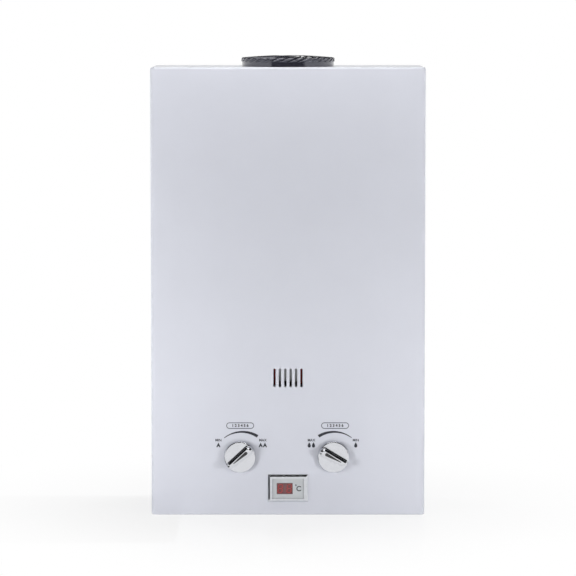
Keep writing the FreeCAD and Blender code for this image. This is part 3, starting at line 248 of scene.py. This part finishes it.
# Light
WORLD_LIGHT = 0.04
Lamp = namedtuple("Lamp", "name place target width height watts in_gloss")
LAMPS = (
    Lamp("left_strip", (-0.4, -0.2, 0.27), (-0.25, FACE_Y, 0.27), 0.08, 0.55, 0.17, False),
    Lamp("left_high", (-0.4, -0.2, 0.5), (-0.25, FACE_Y, 0.45), 0.08, 0.15, 0.18, False),
    Lamp("right_high", (0.4, -0.2, 0.5), (0.25, FACE_Y, 0.45), 0.08, 0.15, 0.22, False),
    Lamp("left_low", (-0.42, -0.5, 0.10), (-0.25, FACE_Y, 0.05), 0.20, 0.18, 1.50, False),
    Lamp("right_low", (0.42, -0.5, 0.10), (0.25, FACE_Y, 0.05), 0.20, 0.18, 1.46, False),
    Lamp("top_strip", (0, -0.24, 0.76), (0, FACE_Y, 0.52), 0.6, 0.05, 1.15, True),
    Lamp("top_light", (0, 0.2, 1.2), (0, 0, 0.54), 0.8, 0.25, 3.2, True),
    Lamp("left_rear", (-0.9, 0.7, 0.45), (0, 0.05, 0.3), 0.5, 0.6, 5.0, False),
    Lamp("right_rear", (0.9, 0.7, 0.45), (0, 0.05, 0.3), 0.5, 0.6, 5.0, False),
)


# Finishes


class Finish:
    """A procedural material: one shader and the textures that feed it."""

    def __init__(self, name, rough, metal=0.0, **sockets):
        self.material = bpy.data.materials.new(name)
        self.material.use_nodes = True
        self.tree = self.material.node_tree
        self.shader = self.tree.nodes["Principled BSDF"]
        self.shader.inputs["Roughness"].default_value = rough
        self.shader.inputs["Metallic"].default_value = metal
        for socket, value in sockets.items():
            self.shader.inputs[socket.replace("_", " ")].default_value = value
        self.place = self.tree.nodes.new("ShaderNodeTexCoord").outputs["Object"]
        self.normal = None

    def node(self, kind, **inputs):
        made = self.tree.nodes.new(kind)
        for name, value in inputs.items():
            socket = made.inputs[name.replace("_", " ")]
            if isinstance(value, bpy.types.NodeSocket):
                self.tree.links.new(value, socket)
            else:
                socket.default_value = value
        return made

    def stretched(self, stretch):
        """Places scaled along each axis, for grain that runs one way."""
        mapping = self.node("ShaderNodeMapping", Vector=self.place)
        mapping.inputs["Scale"].default_value = stretch
        return mapping.outputs["Vector"]

    def noise(self, size, detail=2.0, stretch=None):
        """Noise whose patches are about one size across, in metres."""
        place = self.stretched(stretch) if stretch else self.place
        made = self.node("ShaderNodeTexNoise", Vector=place, Scale=1 / size, Detail=detail)
        return made.outputs["Fac"]

    def cells(self, size):
        """One chance colour for each cell, about one size across."""
        made = self.node("ShaderNodeTexVoronoi", Vector=self.place, Scale=1 / size)
        return made.outputs["Color"]

    def spread(self, value, low, high, start=0.3, end=0.7):
        """The value's range from start to end, mapped onto low to high."""
        made = self.node("ShaderNodeMapRange", Value=value)
        made.inputs["From Min"].default_value = start
        made.inputs["From Max"].default_value = end
        made.inputs["To Min"].default_value = low
        made.inputs["To Max"].default_value = high
        return made.outputs["Result"]

    def blend_colours(self, value, first, second, start=0.3, end=0.7):
        made = self.node("ShaderNodeValToRGB", Fac=value)
        low, high = made.color_ramp.elements
        low.position, high.position = start, end
        low.color = (*first, 1)
        high.color = (*second, 1)
        return made.outputs["Color"]

    def colour(self, socket):
        self.tree.links.new(socket, self.shader.inputs["Base Color"])
        return self

    def roughness(self, socket):
        self.tree.links.new(socket, self.shader.inputs["Roughness"])
        return self

    def bump(self, height, depth):
        """Add a relief of some depth in metres to those already there."""
        made = self.node("ShaderNodeBump", Height=height, Distance=depth, Strength=1.0)
        if self.normal:
            self.tree.links.new(self.normal, made.inputs["Normal"])
        self.normal = made.outputs["Normal"]
        self.tree.links.new(self.normal, self.shader.inputs["Normal"])
        return self


def shades(colour, by):
    """A colour made darker and lighter by a share."""
    return tuple(c * (1 - by) for c in colour), tuple(min(c * (1 + by), 1) for c in colour)


def powder_coat(name, colour):
    """Sprayed paint with a fine orange peel."""
    made = Finish(name, rough=0.34, Coat_Weight=0.5, Coat_Roughness=0.14)
    low, high = shades(colour, by=0.012)
    made.colour(made.blend_colours(made.noise(60 * MM, detail=3), low, high))
    made.roughness(made.spread(made.noise(12 * MM, detail=4), low=0.30, high=0.38))
    made.bump(made.noise(0.9 * MM), depth=0.010 * MM)
    return made.bump(made.noise(0.25 * MM), depth=0.004 * MM)


def galvanised(name, colour):
    """Zinc coat with its crystals, each with a tone and gloss of its own."""
    made = Finish(name, rough=0.4, metal=0.92)
    tone = made.node("ShaderNodeSeparateColor", Color=made.cells(9 * MM)).outputs[0]
    low, high = shades(colour, by=0.14)
    made.colour(made.blend_colours(tone, low, high, start=0.0, end=1.0))
    made.roughness(made.spread(tone, low=0.30, high=0.48, start=0.0, end=1.0))
    return made.bump(made.noise(0.5 * MM, detail=3), depth=0.01 * MM)


def enamel(name, colour, rough, **sockets):
    """Glossy enamel, a little uneven."""
    made = Finish(name, rough, Coat_Weight=0.8, Coat_Roughness=0.06, **sockets)
    low, high = shades(colour, by=0.25)
    made.colour(made.blend_colours(made.noise(15 * MM, detail=4), low, high))
    made.roughness(made.spread(made.noise(4 * MM, detail=4), rough - 0.04, rough + 0.08))
    return made.bump(made.noise(1.5 * MM), depth=0.012 * MM)


def bare_metal(name, colour, tarnish, rough, size=12 * MM, stretch=None, grain=0.006 * MM):
    """Metal with patches of tarnish and a fine grain, which can run one way."""
    made = Finish(name, rough, metal=1.0)
    patches = made.noise(size, detail=5)
    made.colour(made.blend_colours(patches, tarnish, colour, start=0.35, end=0.6))
    made.roughness(made.spread(made.noise(size / 3, detail=4), rough * 0.75, rough * 1.3))
    return made.bump(made.noise(0.6 * MM, 3, stretch), grain)


def moulded(name, colour, rough, **sockets):
    """Moulded plastic with a spark-eroded grain."""
    made = Finish(name, rough, **sockets)
    low, high = shades(colour, by=0.05)
    made.colour(made.blend_colours(made.noise(20 * MM, detail=3), low, high))
    made.roughness(made.spread(made.noise(3 * MM, detail=3), rough * 0.85, rough * 1.15))
    return made.bump(made.noise(0.35 * MM), depth=0.012 * MM)


def ink(name, colour):
    """Printing ink, a little patchy."""
    made = Finish(name, rough=0.45)
    low, high = shades(colour, by=0.15)
    made.colour(made.blend_colours(made.noise(0.8 * MM), low, high))
    return made.bump(made.noise(0.3 * MM), depth=0.004 * MM)


def lit_digit(name, colour, glow):
    """Digit that glows faintly behind its window."""
    made = Finish(name, rough=0.35, Emission_Strength=0.05)
    made.shader.inputs["Emission Color"].default_value = glow
    low, high = shades(colour, by=0.1)
    return made.colour(made.blend_colours(made.noise(2 * MM), low, high))


FINISHES = {
    "casing_paint": powder_coat("casing_paint", (0.685, 0.70, 0.77)),
    "galvanised_steel": galvanised("galvanised_steel", (0.50, 0.52, 0.54)),
    "flue_black": enamel(
        "flue_black", (0.026, 0.026, 0.036), 0.16, Specular_IOR_Level=1.0,
        Specular_Tint=(0.84, 0.86, 1.0, 1.0),
    ),
    "copper": bare_metal("copper", (0.72, 0.36, 0.22), (0.42, 0.19, 0.12), 0.30),
    "brass": bare_metal("brass", (0.74, 0.55, 0.27), (0.55, 0.39, 0.18), 0.28, 8 * MM),
    "cast_alloy": bare_metal(
        "cast_alloy", (0.60, 0.61, 0.62), (0.48, 0.49, 0.50), 0.48, 6 * MM, grain=0.03 * MM
    ),
    "stainless": bare_metal(
        "stainless", (0.58, 0.57, 0.55), (0.44, 0.41, 0.37), 0.32, 20 * MM, (1, 0.1, 1)
    ),
    "zinc_screw": bare_metal("zinc_screw", (0.68, 0.69, 0.70), (0.55, 0.56, 0.55), 0.25, 3 * MM),
    "ceramic": moulded("ceramic", (0.80, 0.78, 0.73), 0.45, Subsurface_Weight=0.05),
    "rubber": moulded("rubber", (0.025, 0.025, 0.026), 0.65),
    "knob_silver": bare_metal(
        "knob_silver", (0.70, 0.71, 0.745), (0.68, 0.69, 0.725), 0.15, 9 * MM, grain=0.0002 * MM
    ),
    # Black of the pointer inlays, and also of the band along each knob's upper flank, which is
    # painted shade standing in for a dark reflection on that flank
    "pointer_black": enamel("pointer_black", (0.008, 0.008, 0.010), 0.22),
    "bezel_chrome": bare_metal(
        "bezel_chrome", (0.66, 0.675, 0.71), (0.62, 0.635, 0.67), 0.08, 5 * MM, grain=0.0005 * MM
    ),
    "panel_silver": moulded("panel_silver", (0.62, 0.64, 0.66), 0.35, Metallic=0.3),
    "lens_red": enamel("lens_red", (0.14, 0.036, 0.040), 0.12),
    "black_plastic": moulded("black_plastic", (0.03, 0.03, 0.032), 0.5),
    "grey_plastic": moulded("grey_plastic", (0.55, 0.56, 0.56), 0.5),
    "cell_wrap": moulded("cell_wrap", (0.09, 0.10, 0.12), 0.3),
    "lead_skin": moulded("lead_skin", (0.42, 0.04, 0.03), 0.4),
}
INK_BLACK = ink("print_ink", (0.022, 0.023, 0.034))
INK_GREY = ink("outline_ink", (0.09, 0.095, 0.12))
PANEL_INK = ink("panel_ink", (0.03, 0.034, 0.045))
DIGIT_RED = lit_digit("digit_red", (0.30, 0.03, 0.03), glow=(0.9, 0.06, 0.05, 1))


def dress_nodes():
    """Give every node the finish that its slot names."""
    for node in nodes.values():
        for index, material in enumerate(node.data.materials):
            node.data.materials[index] = FINISHES[material.name.split(".")[0]].material


# Pieces


def piece(name, form, finish):
    """Make an object from a bmesh and set it on the heater's fixed body."""
    mesh = bpy.data.meshes.new(name)
    bmesh.ops.recalc_face_normals(form, faces=form.faces)
    form.to_mesh(mesh)
    form.free()
    mesh.materials.append(finish.material)
    made = bpy.data.objects.new(name, mesh)
    bpy.context.scene.collection.objects.link(made)
    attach(made, "heater")
    return made


def between(ends, share):
    first, last = ends
    return first + (last - first) * share


def circle(radius, steps):
    turn = [2 * math.pi * step / steps for step in range(steps)]
    return [(radius * math.cos(angle), radius * math.sin(angle)) for angle in turn]


def on_front(form, outline, front_y):
    """Add a thin plate of ink to a bmesh, with its outline given as X and Z."""
    plate_back = front_y + INK_SINK
    corners = [form.verts.new((x, plate_back, z)) for x, z in outline]
    face = form.faces.new(corners)
    raised = bmesh.ops.extrude_face_region(form, geom=[face])["geom"]
    moved = [g for g in raised if isinstance(g, bmesh.types.BMVert)]
    bmesh.ops.translate(form, verts=moved, vec=(0, -INK - INK_SINK, 0))


def is_wall(face):
    return abs(face.normal.y) < WALL_FACING


def print_ring(form, outer, inner, front_y):
    """Thin band of ink between two outlines with equal numbers of points."""
    count = len(outer)
    for index in range(count):
        after = (index + 1) % count
        on_front(form, (outer[index], outer[after], inner[after], inner[index]), front_y)
    bmesh.ops.remove_doubles(form, verts=form.verts, dist=WELD)
    shared_edges = [e for e in form.edges if len(e.link_faces) > 2]
    form.normal_update()
    shared_walls = {f for e in shared_edges for f in e.link_faces if is_wall(f)}
    bmesh.ops.delete(form, geom=list(shared_walls), context="FACES")


def dial_arc(dial):
    """Tapered arc above a knob."""
    x = dial.axis.x + dial.arc_shift
    z = dial.axis.z - ARC_DROP
    outer, inner = [], []
    for step in range(ARC_STEPS + 1):
        share = step / ARC_STEPS
        angle = math.radians(between(dial.arc_angles, share))
        half = between(dial.arc_widths, share) / 2
        for side, radius in ((outer, ARC_RADIUS + half), (inner, ARC_RADIUS - half)):
            side.append((x + radius * math.sin(angle), z + radius * math.cos(angle)))
    form = bmesh.new()
    on_front(form, outer + inner[::-1], FACE_Y)
    piece(dial.name + "_arc", form, INK_BLACK)


def pill_outline(x, z, inset):
    half = PILL_WIDTH / 2 - PILL_HEIGHT / 2
    radius = PILL_HEIGHT / 2 - inset
    points = []
    for side in (1, -1):
        for step in range(PILL_STEPS + 1):
            angle = math.pi * (step / PILL_STEPS - 0.5)
            across = side * (half + radius * math.cos(angle))
            points.append((x + across, z + side * radius * math.sin(angle)))
    return points


def pill(dial):
    """Rounded frame with a scale of numbers in it."""
    x = dial.axis.x + dial.pill_shift
    z = dial.axis.z + PILL_RISE
    form = bmesh.new()
    print_ring(form, pill_outline(x, z, 0), pill_outline(x, z, PILL_LINE), FACE_Y)
    piece(dial.name + "_pill", form, INK_GREY)
    lettering(
        dial.name + "_scale", PILL_TEXT, (x, FACE_Y, z), PILL_TEXT_SIZE, PILL_TEXT_BOLD, INK_BLACK
    )


def flame_outline(x, z):
    """Pointed flame with a notch below."""
    half = FLAME_WIDTH / 2
    bottom = z - FLAME_HEIGHT / 2
    points = [(x, z + FLAME_HEIGHT / 2)]
    points += [(x + half * across, bottom + FLAME_HEIGHT * up) for across, up in FLAME_EDGE]
    points.append((x, bottom + FLAME_NOTCH * FLAME_HEIGHT))
    points += [
        (x - half * across, bottom + FLAME_HEIGHT * up) for across, up in reversed(FLAME_EDGE)
    ]
    return points


def drop_outline(x, z):
    """Teardrop: a round foot and sides that draw in to a point."""
    points = []
    for step in range(DROP_STEPS):
        angle = 2 * math.pi * step / DROP_STEPS
        draw_in = math.sin(angle / 2) ** DROP_DRAW_IN
        across = DROP_WIDTH / 2 * DROP_FULLNESS * math.sin(angle) * draw_in
        points.append((x + across, z + DROP_HEIGHT / 2 * math.cos(angle)))
    return points


def lettering(name, text, place, size, bold, finish):
    """Plain generic lettering, centred on a place of a front."""
    curve = bpy.data.curves.new(name, "FONT")
    curve.body = text
    curve.size = size
    curve.align_x = "CENTER"
    curve.align_y = "CENTER"
    curve.extrude = (INK + INK_SINK) / 2
    curve.offset = bold
    source = bpy.data.objects.new(name + "_curve", curve)
    mesh = bpy.data.meshes.new_from_object(source)
    bpy.data.objects.remove(source)
    form = bmesh.new()
    form.from_mesh(mesh)
    bpy.data.meshes.remove(mesh)
    bmesh.ops.remove_doubles(form, verts=form.verts, dist=WELD)
    upright = Matrix.Rotation(math.radians(90), 4, "X")
    middle = Vector(place) + Vector((0, INK_SINK - (INK + INK_SINK) / 2, 0))
    bmesh.ops.transform(form, matrix=Matrix.Translation(middle) @ upright, verts=form.verts)
    piece(name, form, finish)


def dial_end(dial, side, outline):
    """MIN with one icon or MAX with two, at one side of a knob."""
    low = side == dial.low_side
    text = "MIN" if low else "MAX"
    name = f"{dial.name}_{text.lower()}"
    x = dial.axis.x + side * LABEL_REACH + dial.label_shift
    place = (x, FACE_Y, dial.axis.z + LABEL_RISE)
    lettering(name, text, place, LABEL_SIZE, LABEL_BOLD, INK_BLACK)
    form = bmesh.new()
    offsets = (0,) if low else (-ICON_PITCH / 2, ICON_PITCH / 2)
    for offset in offsets:
        on_front(form, outline(x + offset, dial.axis.z + ICON_RISE), FACE_Y)
    piece(name + "_icon", form, INK_BLACK)


def front_printing():
    for dial, outline in zip(DIALS, (flame_outline, drop_outline)):
        dial_arc(dial)
        pill(dial)
        for side in (-1, 1):
            dial_end(dial, side, outline)


def bar_outline(start, end):
    """Six-sided bar from one point to the other, a little short of both."""
    run = (end - start).normalized()
    across = Vector((-run.y, run.x)) * DIGIT_LINE / 2
    tip = run * DIGIT_LINE * BAR_TIP
    shoulder = run * DIGIT_LINE * BAR_SHOULDER
    return [
        start + tip, start + shoulder + across, end - shoulder + across,
        end - tip, end - shoulder - across, start + shoulder - across,
    ]


def display_digits():
    """Slanted digits with every bar showing."""
    middle = (LENS_LOW + LENS_HIGH) / 2
    low_z = middle.z - DIGIT_HEIGHT / 2
    form = bmesh.new()
    for index in range(DIGIT_COUNT):
        off_centre = (index - (DIGIT_COUNT - 1) / 2) * DIGIT_PITCH
        corner = Vector((middle.x + off_centre - DIGIT_WIDTH / 2, low_z))
        for bar in BARS:
            ends = []
            for across, up in bar:
                lean = (up - 0.5) * DIGIT_HEIGHT * math.tan(DIGIT_SLANT)
                ends.append(corner + Vector((across * DIGIT_WIDTH + lean, up * DIGIT_HEIGHT)))
            on_front(form, bar_outline(*ends), LENS_LOW.y)
    piece("display_digits", form, DIGIT_RED)


def degree_sign():
    letter_x = (LENS_HIGH.x + PANEL_HIGH.x) / 2 + CELSIUS_SHIFT
    place = (letter_x, PANEL_LOW.y, PANEL_LOW.z + CELSIUS_RISE)
    lettering("celsius_mark", "C", place, CELSIUS_SIZE, CELSIUS_BOLD, PANEL_INK)
    x, z = LENS_HIGH.x + DEGREE_SHIFT, PANEL_LOW.z + DEGREE_RISE
    rings = [
        [(x + across, z + up) for across, up in circle(radius, DEGREE_STEPS)]
        for radius in DEGREE_RADII
    ]
    form = bmesh.new()
    print_ring(form, *rings, PANEL_LOW.y)
    piece("degree_mark", form, PANEL_INK)


def vane_turn(radius):
    """Straight-line reading of the twist's table, in degrees, which goes on past its end."""
    for (x0, y0), (x1, y1) in zip(VANE_TWIST, VANE_TWIST[1:]):
        if radius <= x1:
            break
    return between((y0, y1), (radius - x0) / (x1 - x0))


def vane_path():
    """Stations of one vane: radius, height, turn in degrees, and how far it leans outwards."""
    dome_rise = GUARD_HIGH.z - COLLAR_TOP
    stations = []
    radius = VANE_START_RADIUS
    while radius < GUARD_RADIUS:
        height = COLLAR_TOP + dome_rise * (1 - (radius / GUARD_RADIUS) ** 2)
        stations.append((radius, height, vane_turn(radius), 0.0))
        radius += VANE_STEP
    turn = vane_turn(GUARD_RADIUS)
    for inwards, drop, turned_on, lean in VANE_RIM:
        stations.append((COLLAR_RADIUS - inwards, COLLAR_TOP - drop, turn + turned_on, lean))
    for step in range(VANE_WALL_STATIONS):
        drop = VANE_WALL_START + step * VANE_WALL_STEP
        stations.append((COLLAR_RADIUS, COLLAR_TOP - drop, turn + VANE_WALL_TWIST * drop, 1.0))
    return stations


def vane_row(form, start, rise, radius, height, turn, lean):
    """Points across one vane at a station, round on top and sunk into what carries it."""
    half = VANE_SHARE * 2 * math.pi * radius / VANE_COUNT
    row = []
    for side in VANE_SIDES:
        out = rise * math.sqrt(1 - side * side) - VANE_SINK
        angle = math.radians(start + turn) + side * half / radius
        reach = radius + out * lean
        x, y = reach * math.cos(angle), FLUE_Y + reach * math.sin(angle)
        row.append(form.verts.new((x, y, height + out * (1 - lean))))
    return row


def guard_vanes():
    """Swirling ribs over the guard, which hook over the collar's rim."""
    stations = vane_path()
    form = bmesh.new()
    for vane in range(VANE_COUNT):
        start = 360 / VANE_COUNT * (vane + 0.5)
        rows = []
        for index, station in enumerate(stations):
            from_end = min(index, len(stations) - 1 - index)
            rise = VANE_RISE * min(1.0, VANE_END + VANE_END_GAIN * from_end)
            rows.append(vane_row(form, start, rise, *station))
        for low, high in zip(rows, rows[1:]):
            for a, b, c, d in zip(low, low[1:], high[1:], high):
                form.faces.new((a, b, c, d))
            form.faces.new((low[0], high[0], high[-1], low[-1]))
        form.faces.new(rows[0][::-1])
        form.faces.new(rows[-1])
    made = piece("guard_vanes", form, FINISHES["flue_black"])
    for face in made.data.polygons:
        face.use_smooth = True


def coil(form, start, along, radius, pitch, turns, section):
    """Helical bar. The section's points are given as outward and lengthwise offsets."""
    first = along.orthogonal().normalized()
    second = along.cross(first)
    rings = []
    for step in range(turns * COIL_STEPS + 1):
        angle = 2 * math.pi * step / COIL_STEPS
        outward = first * math.cos(angle) + second * math.sin(angle)
        middle = start + along * pitch * step / COIL_STEPS
        rings.append([
            form.verts.new(middle + outward * (radius + out) + along * up) for out, up in section
        ])
    for low, high in zip(rings, rings[1:]):
        for a, b, c, d in zip(low, low[1:] + low[:1], high[1:] + high[:1], high):
            form.faces.new((a, b, c, d))
    form.faces.new(rings[0][::-1])
    form.faces.new(rings[-1])


def valve_spring():
    """Coil spring at the poppet; in the heater it shortens as the poppet comes back, but here it
    is drawn at one length.
    """
    low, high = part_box("return_spring")
    seat = node_middle("gas_poppet")
    length = high.x - low.x - SPRING_SLACK
    start = Vector((low.x + SPRING_WIRE, seat.y, seat.z))
    pitch = (length - 2 * SPRING_WIRE) / SPRING_TURNS
    wire = circle(SPRING_WIRE, SPRING_WIRE_STEPS)
    form = bmesh.new()
    coil(form, start, Vector((1, 0, 0)), SPRING_RADIUS, pitch, SPRING_TURNS, wire)
    made = piece("valve_spring", form, FINISHES["stainless"])
    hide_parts("return_spring")
    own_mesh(made)


def connector_threads():
    """Pipe thread round the outside of each connector."""
    up = Vector((0, 0, 1))
    for node in ("gas_connector", "cold_connector", "hot_connector"):
        middle = node_middle(node)
        start = Vector((middle.x, middle.y, THREAD_START))
        form = bmesh.new()
        coil(form, start, up, THREAD_RADIUS, THREAD_PITCH, THREAD_TURNS, THREAD_SECTION)
        piece(node.replace("connector", "thread"), form, FINISHES["brass"])


# Stage


def staged(name, form, finish):
    """Make an object from a bmesh that is no part of the heater."""
    mesh = bpy.data.meshes.new(name)
    form.to_mesh(mesh)
    form.free()
    mesh.materials.append(finish.material)
    made = bpy.data.objects.new(name, mesh)
    bpy.context.scene.collection.objects.link(made)
    return made


def card(form, low, high):
    """Add a level or upright rectangle to a bmesh, between two opposite corners."""
    (x0, y0, z0), (x1, y1, z1) = low, high
    if z0 == z1:
        corners = ((x0, y0, z0), (x1, y0, z0), (x1, y1, z0), (x0, y1, z0))
    else:
        corners = ((x0, y0, z0), (x1, y1, z0), (x1, y1, z1), (x0, y0, z1))
    form.faces.new([form.verts.new(corner) for corner in corners])


def background_rays(tree):
    """1 for rays from the camera, off gloss or through glass, and 0 for light."""
    path = tree.nodes.new("ShaderNodeLightPath").outputs
    first = tree.nodes.new("ShaderNodeMath")
    first.operation = "MAXIMUM"
    tree.links.new(path["Is Camera Ray"], first.inputs[0])
    tree.links.new(path["Is Glossy Ray"], first.inputs[1])
    both = tree.nodes.new("ShaderNodeMath")
    both.operation = "MAXIMUM"
    tree.links.new(first.outputs["Value"], both.inputs[0])
    tree.links.new(path["Is Transmission Ray"], both.inputs[1])
    return both.outputs["Value"]


def stage_grey(name, rough, patch, greys):
    finish = Finish(name, rough)
    dark, light = [(grey,) * 3 for grey in greys]
    finish.colour(finish.blend_colours(finish.noise(patch), dark, light))
    return finish


def floor_finish():
    """Pale floor that takes the object's shadow and is seen as white away from it."""
    finish = stage_grey("floor", FLOOR_ROUGH, FLOOR_PATCH, FLOOR_GREYS)
    finish.shader.inputs["Specular IOR Level"].default_value = FLOOR_GLOSS
    glow = finish.node("ShaderNodeEmission", Color=(1, 1, 1, 1), Strength=1.0)
    away = finish.node("ShaderNodeVectorMath", Vector=finish.place)
    away.operation = "LENGTH"
    far = finish.node("ShaderNodeMapRange", Value=away.outputs["Value"])
    far.interpolation_type = "SMOOTHSTEP"
    far.inputs["From Max"].default_value = FLOOR_FADE
    far.inputs["To Min"].default_value = FLOOR_GLOW
    share = finish.node("ShaderNodeMath")
    share.operation = "MULTIPLY"
    tree = finish.tree
    tree.links.new(far.outputs["Result"], share.inputs[0])
    tree.links.new(background_rays(tree), share.inputs[1])
    mix = finish.node("ShaderNodeMixShader")
    tree.links.new(share.outputs["Value"], mix.inputs["Fac"])
    tree.links.new(finish.shader.outputs["BSDF"], mix.inputs[1])
    tree.links.new(glow.outputs["Emission"], mix.inputs[2])
    tree.links.new(mix.outputs["Shader"], tree.nodes["Material Output"].inputs["Surface"])
    return finish


def floor():
    level = cad_bounds[0].z - FLOOR_GAP
    form = bmesh.new()
    card(form, (-FLOOR_HALF, -FLOOR_HALF, level), (FLOOR_HALF, FLOOR_HALF, level))
    staged("floor", form, floor_finish())


def world():
    """White where it is seen and softer where it lights."""
    made = bpy.data.worlds.new("studio")
    made.use_nodes = True
    tree = made.node_tree
    seen = background_rays(tree)
    strength = tree.nodes.new("ShaderNodeMapRange")
    tree.links.new(seen, strength.inputs["Value"])
    strength.inputs["To Min"].default_value = WORLD_LIGHT
    strength.inputs["To Max"].default_value = 1.0
    background = tree.nodes["Background"]
    background.inputs["Color"].default_value = (1, 1, 1, 1)
    tree.links.new(strength.outputs["Result"], background.inputs["Strength"])
    bpy.context.scene.world = made


def flags():
    """Dark cards round the object, which only reflections show."""
    side, front, back, top = FLAG_SIDE, FLAG_FRONT, FLAG_BACK, FLAG_TOP
    form = bmesh.new()
    card(form, (-side, front, top), (side, back, top))
    card(form, (-side, front, FLAG_LOW), (-side, back, top))
    card(form, (side, front, FLAG_LOW), (side, back, top))
    card(form, (-FLAG_FRONT_HALF, front, 0), (FLAG_FRONT_HALF, front, top))
    card(form, (-side, back, FLAG_BACK_LOW), (side, back, top))
    card(form, *((x, y, FLAG_TABLE) for x, y in zip(FLAG_TABLE_X, FLAG_TABLE_Y)))
    made = staged("flags", form, stage_grey("flag_cloth", FLAG_ROUGH, FLAG_PATCH, FLAG_GREYS))
    made.visible_camera = False
    made.visible_diffuse = False
    made.visible_transmission = False
    made.visible_shadow = False


def lamps():
    for lamp in LAMPS:
        light = bpy.data.lights.new(lamp.name, "AREA")
        light.shape = "RECTANGLE"
        light.size = lamp.width
        light.size_y = lamp.height
        light.energy = lamp.watts
        made = bpy.data.objects.new(lamp.name, light)
        made.location = lamp.place
        made.visible_glossy = lamp.in_gloss
        facing = Vector(lamp.target) - Vector(lamp.place)
        made.rotation_euler = facing.to_track_quat("-Z", "Y").to_euler()
        bpy.context.scene.collection.objects.link(made)


def camera():
    lens = bpy.data.cameras.new("camera")
    lens.lens = LENS_MM
    lens.sensor_width = SENSOR_MM
    lens.clip_end = CAMERA_REACH
    made = bpy.data.objects.new("camera", lens)
    made.location = (0, FACE_Y - CAMERA_DISTANCE, CAMERA_HEIGHT)
    aim = Vector((0, FACE_Y, AIM_HEIGHT)) - made.location
    made.rotation_euler = aim.to_track_quat("-Z", "Y").to_euler()
    bpy.context.scene.collection.objects.link(made)
    bpy.context.scene.camera = made


dress_nodes()
front_printing()
display_digits()
degree_sign()
guard_vanes()
valve_spring()
connector_threads()
floor()
world()
flags()
lamps()
camera()
bpy.context.scene.view_settings.view_transform = "Standard"
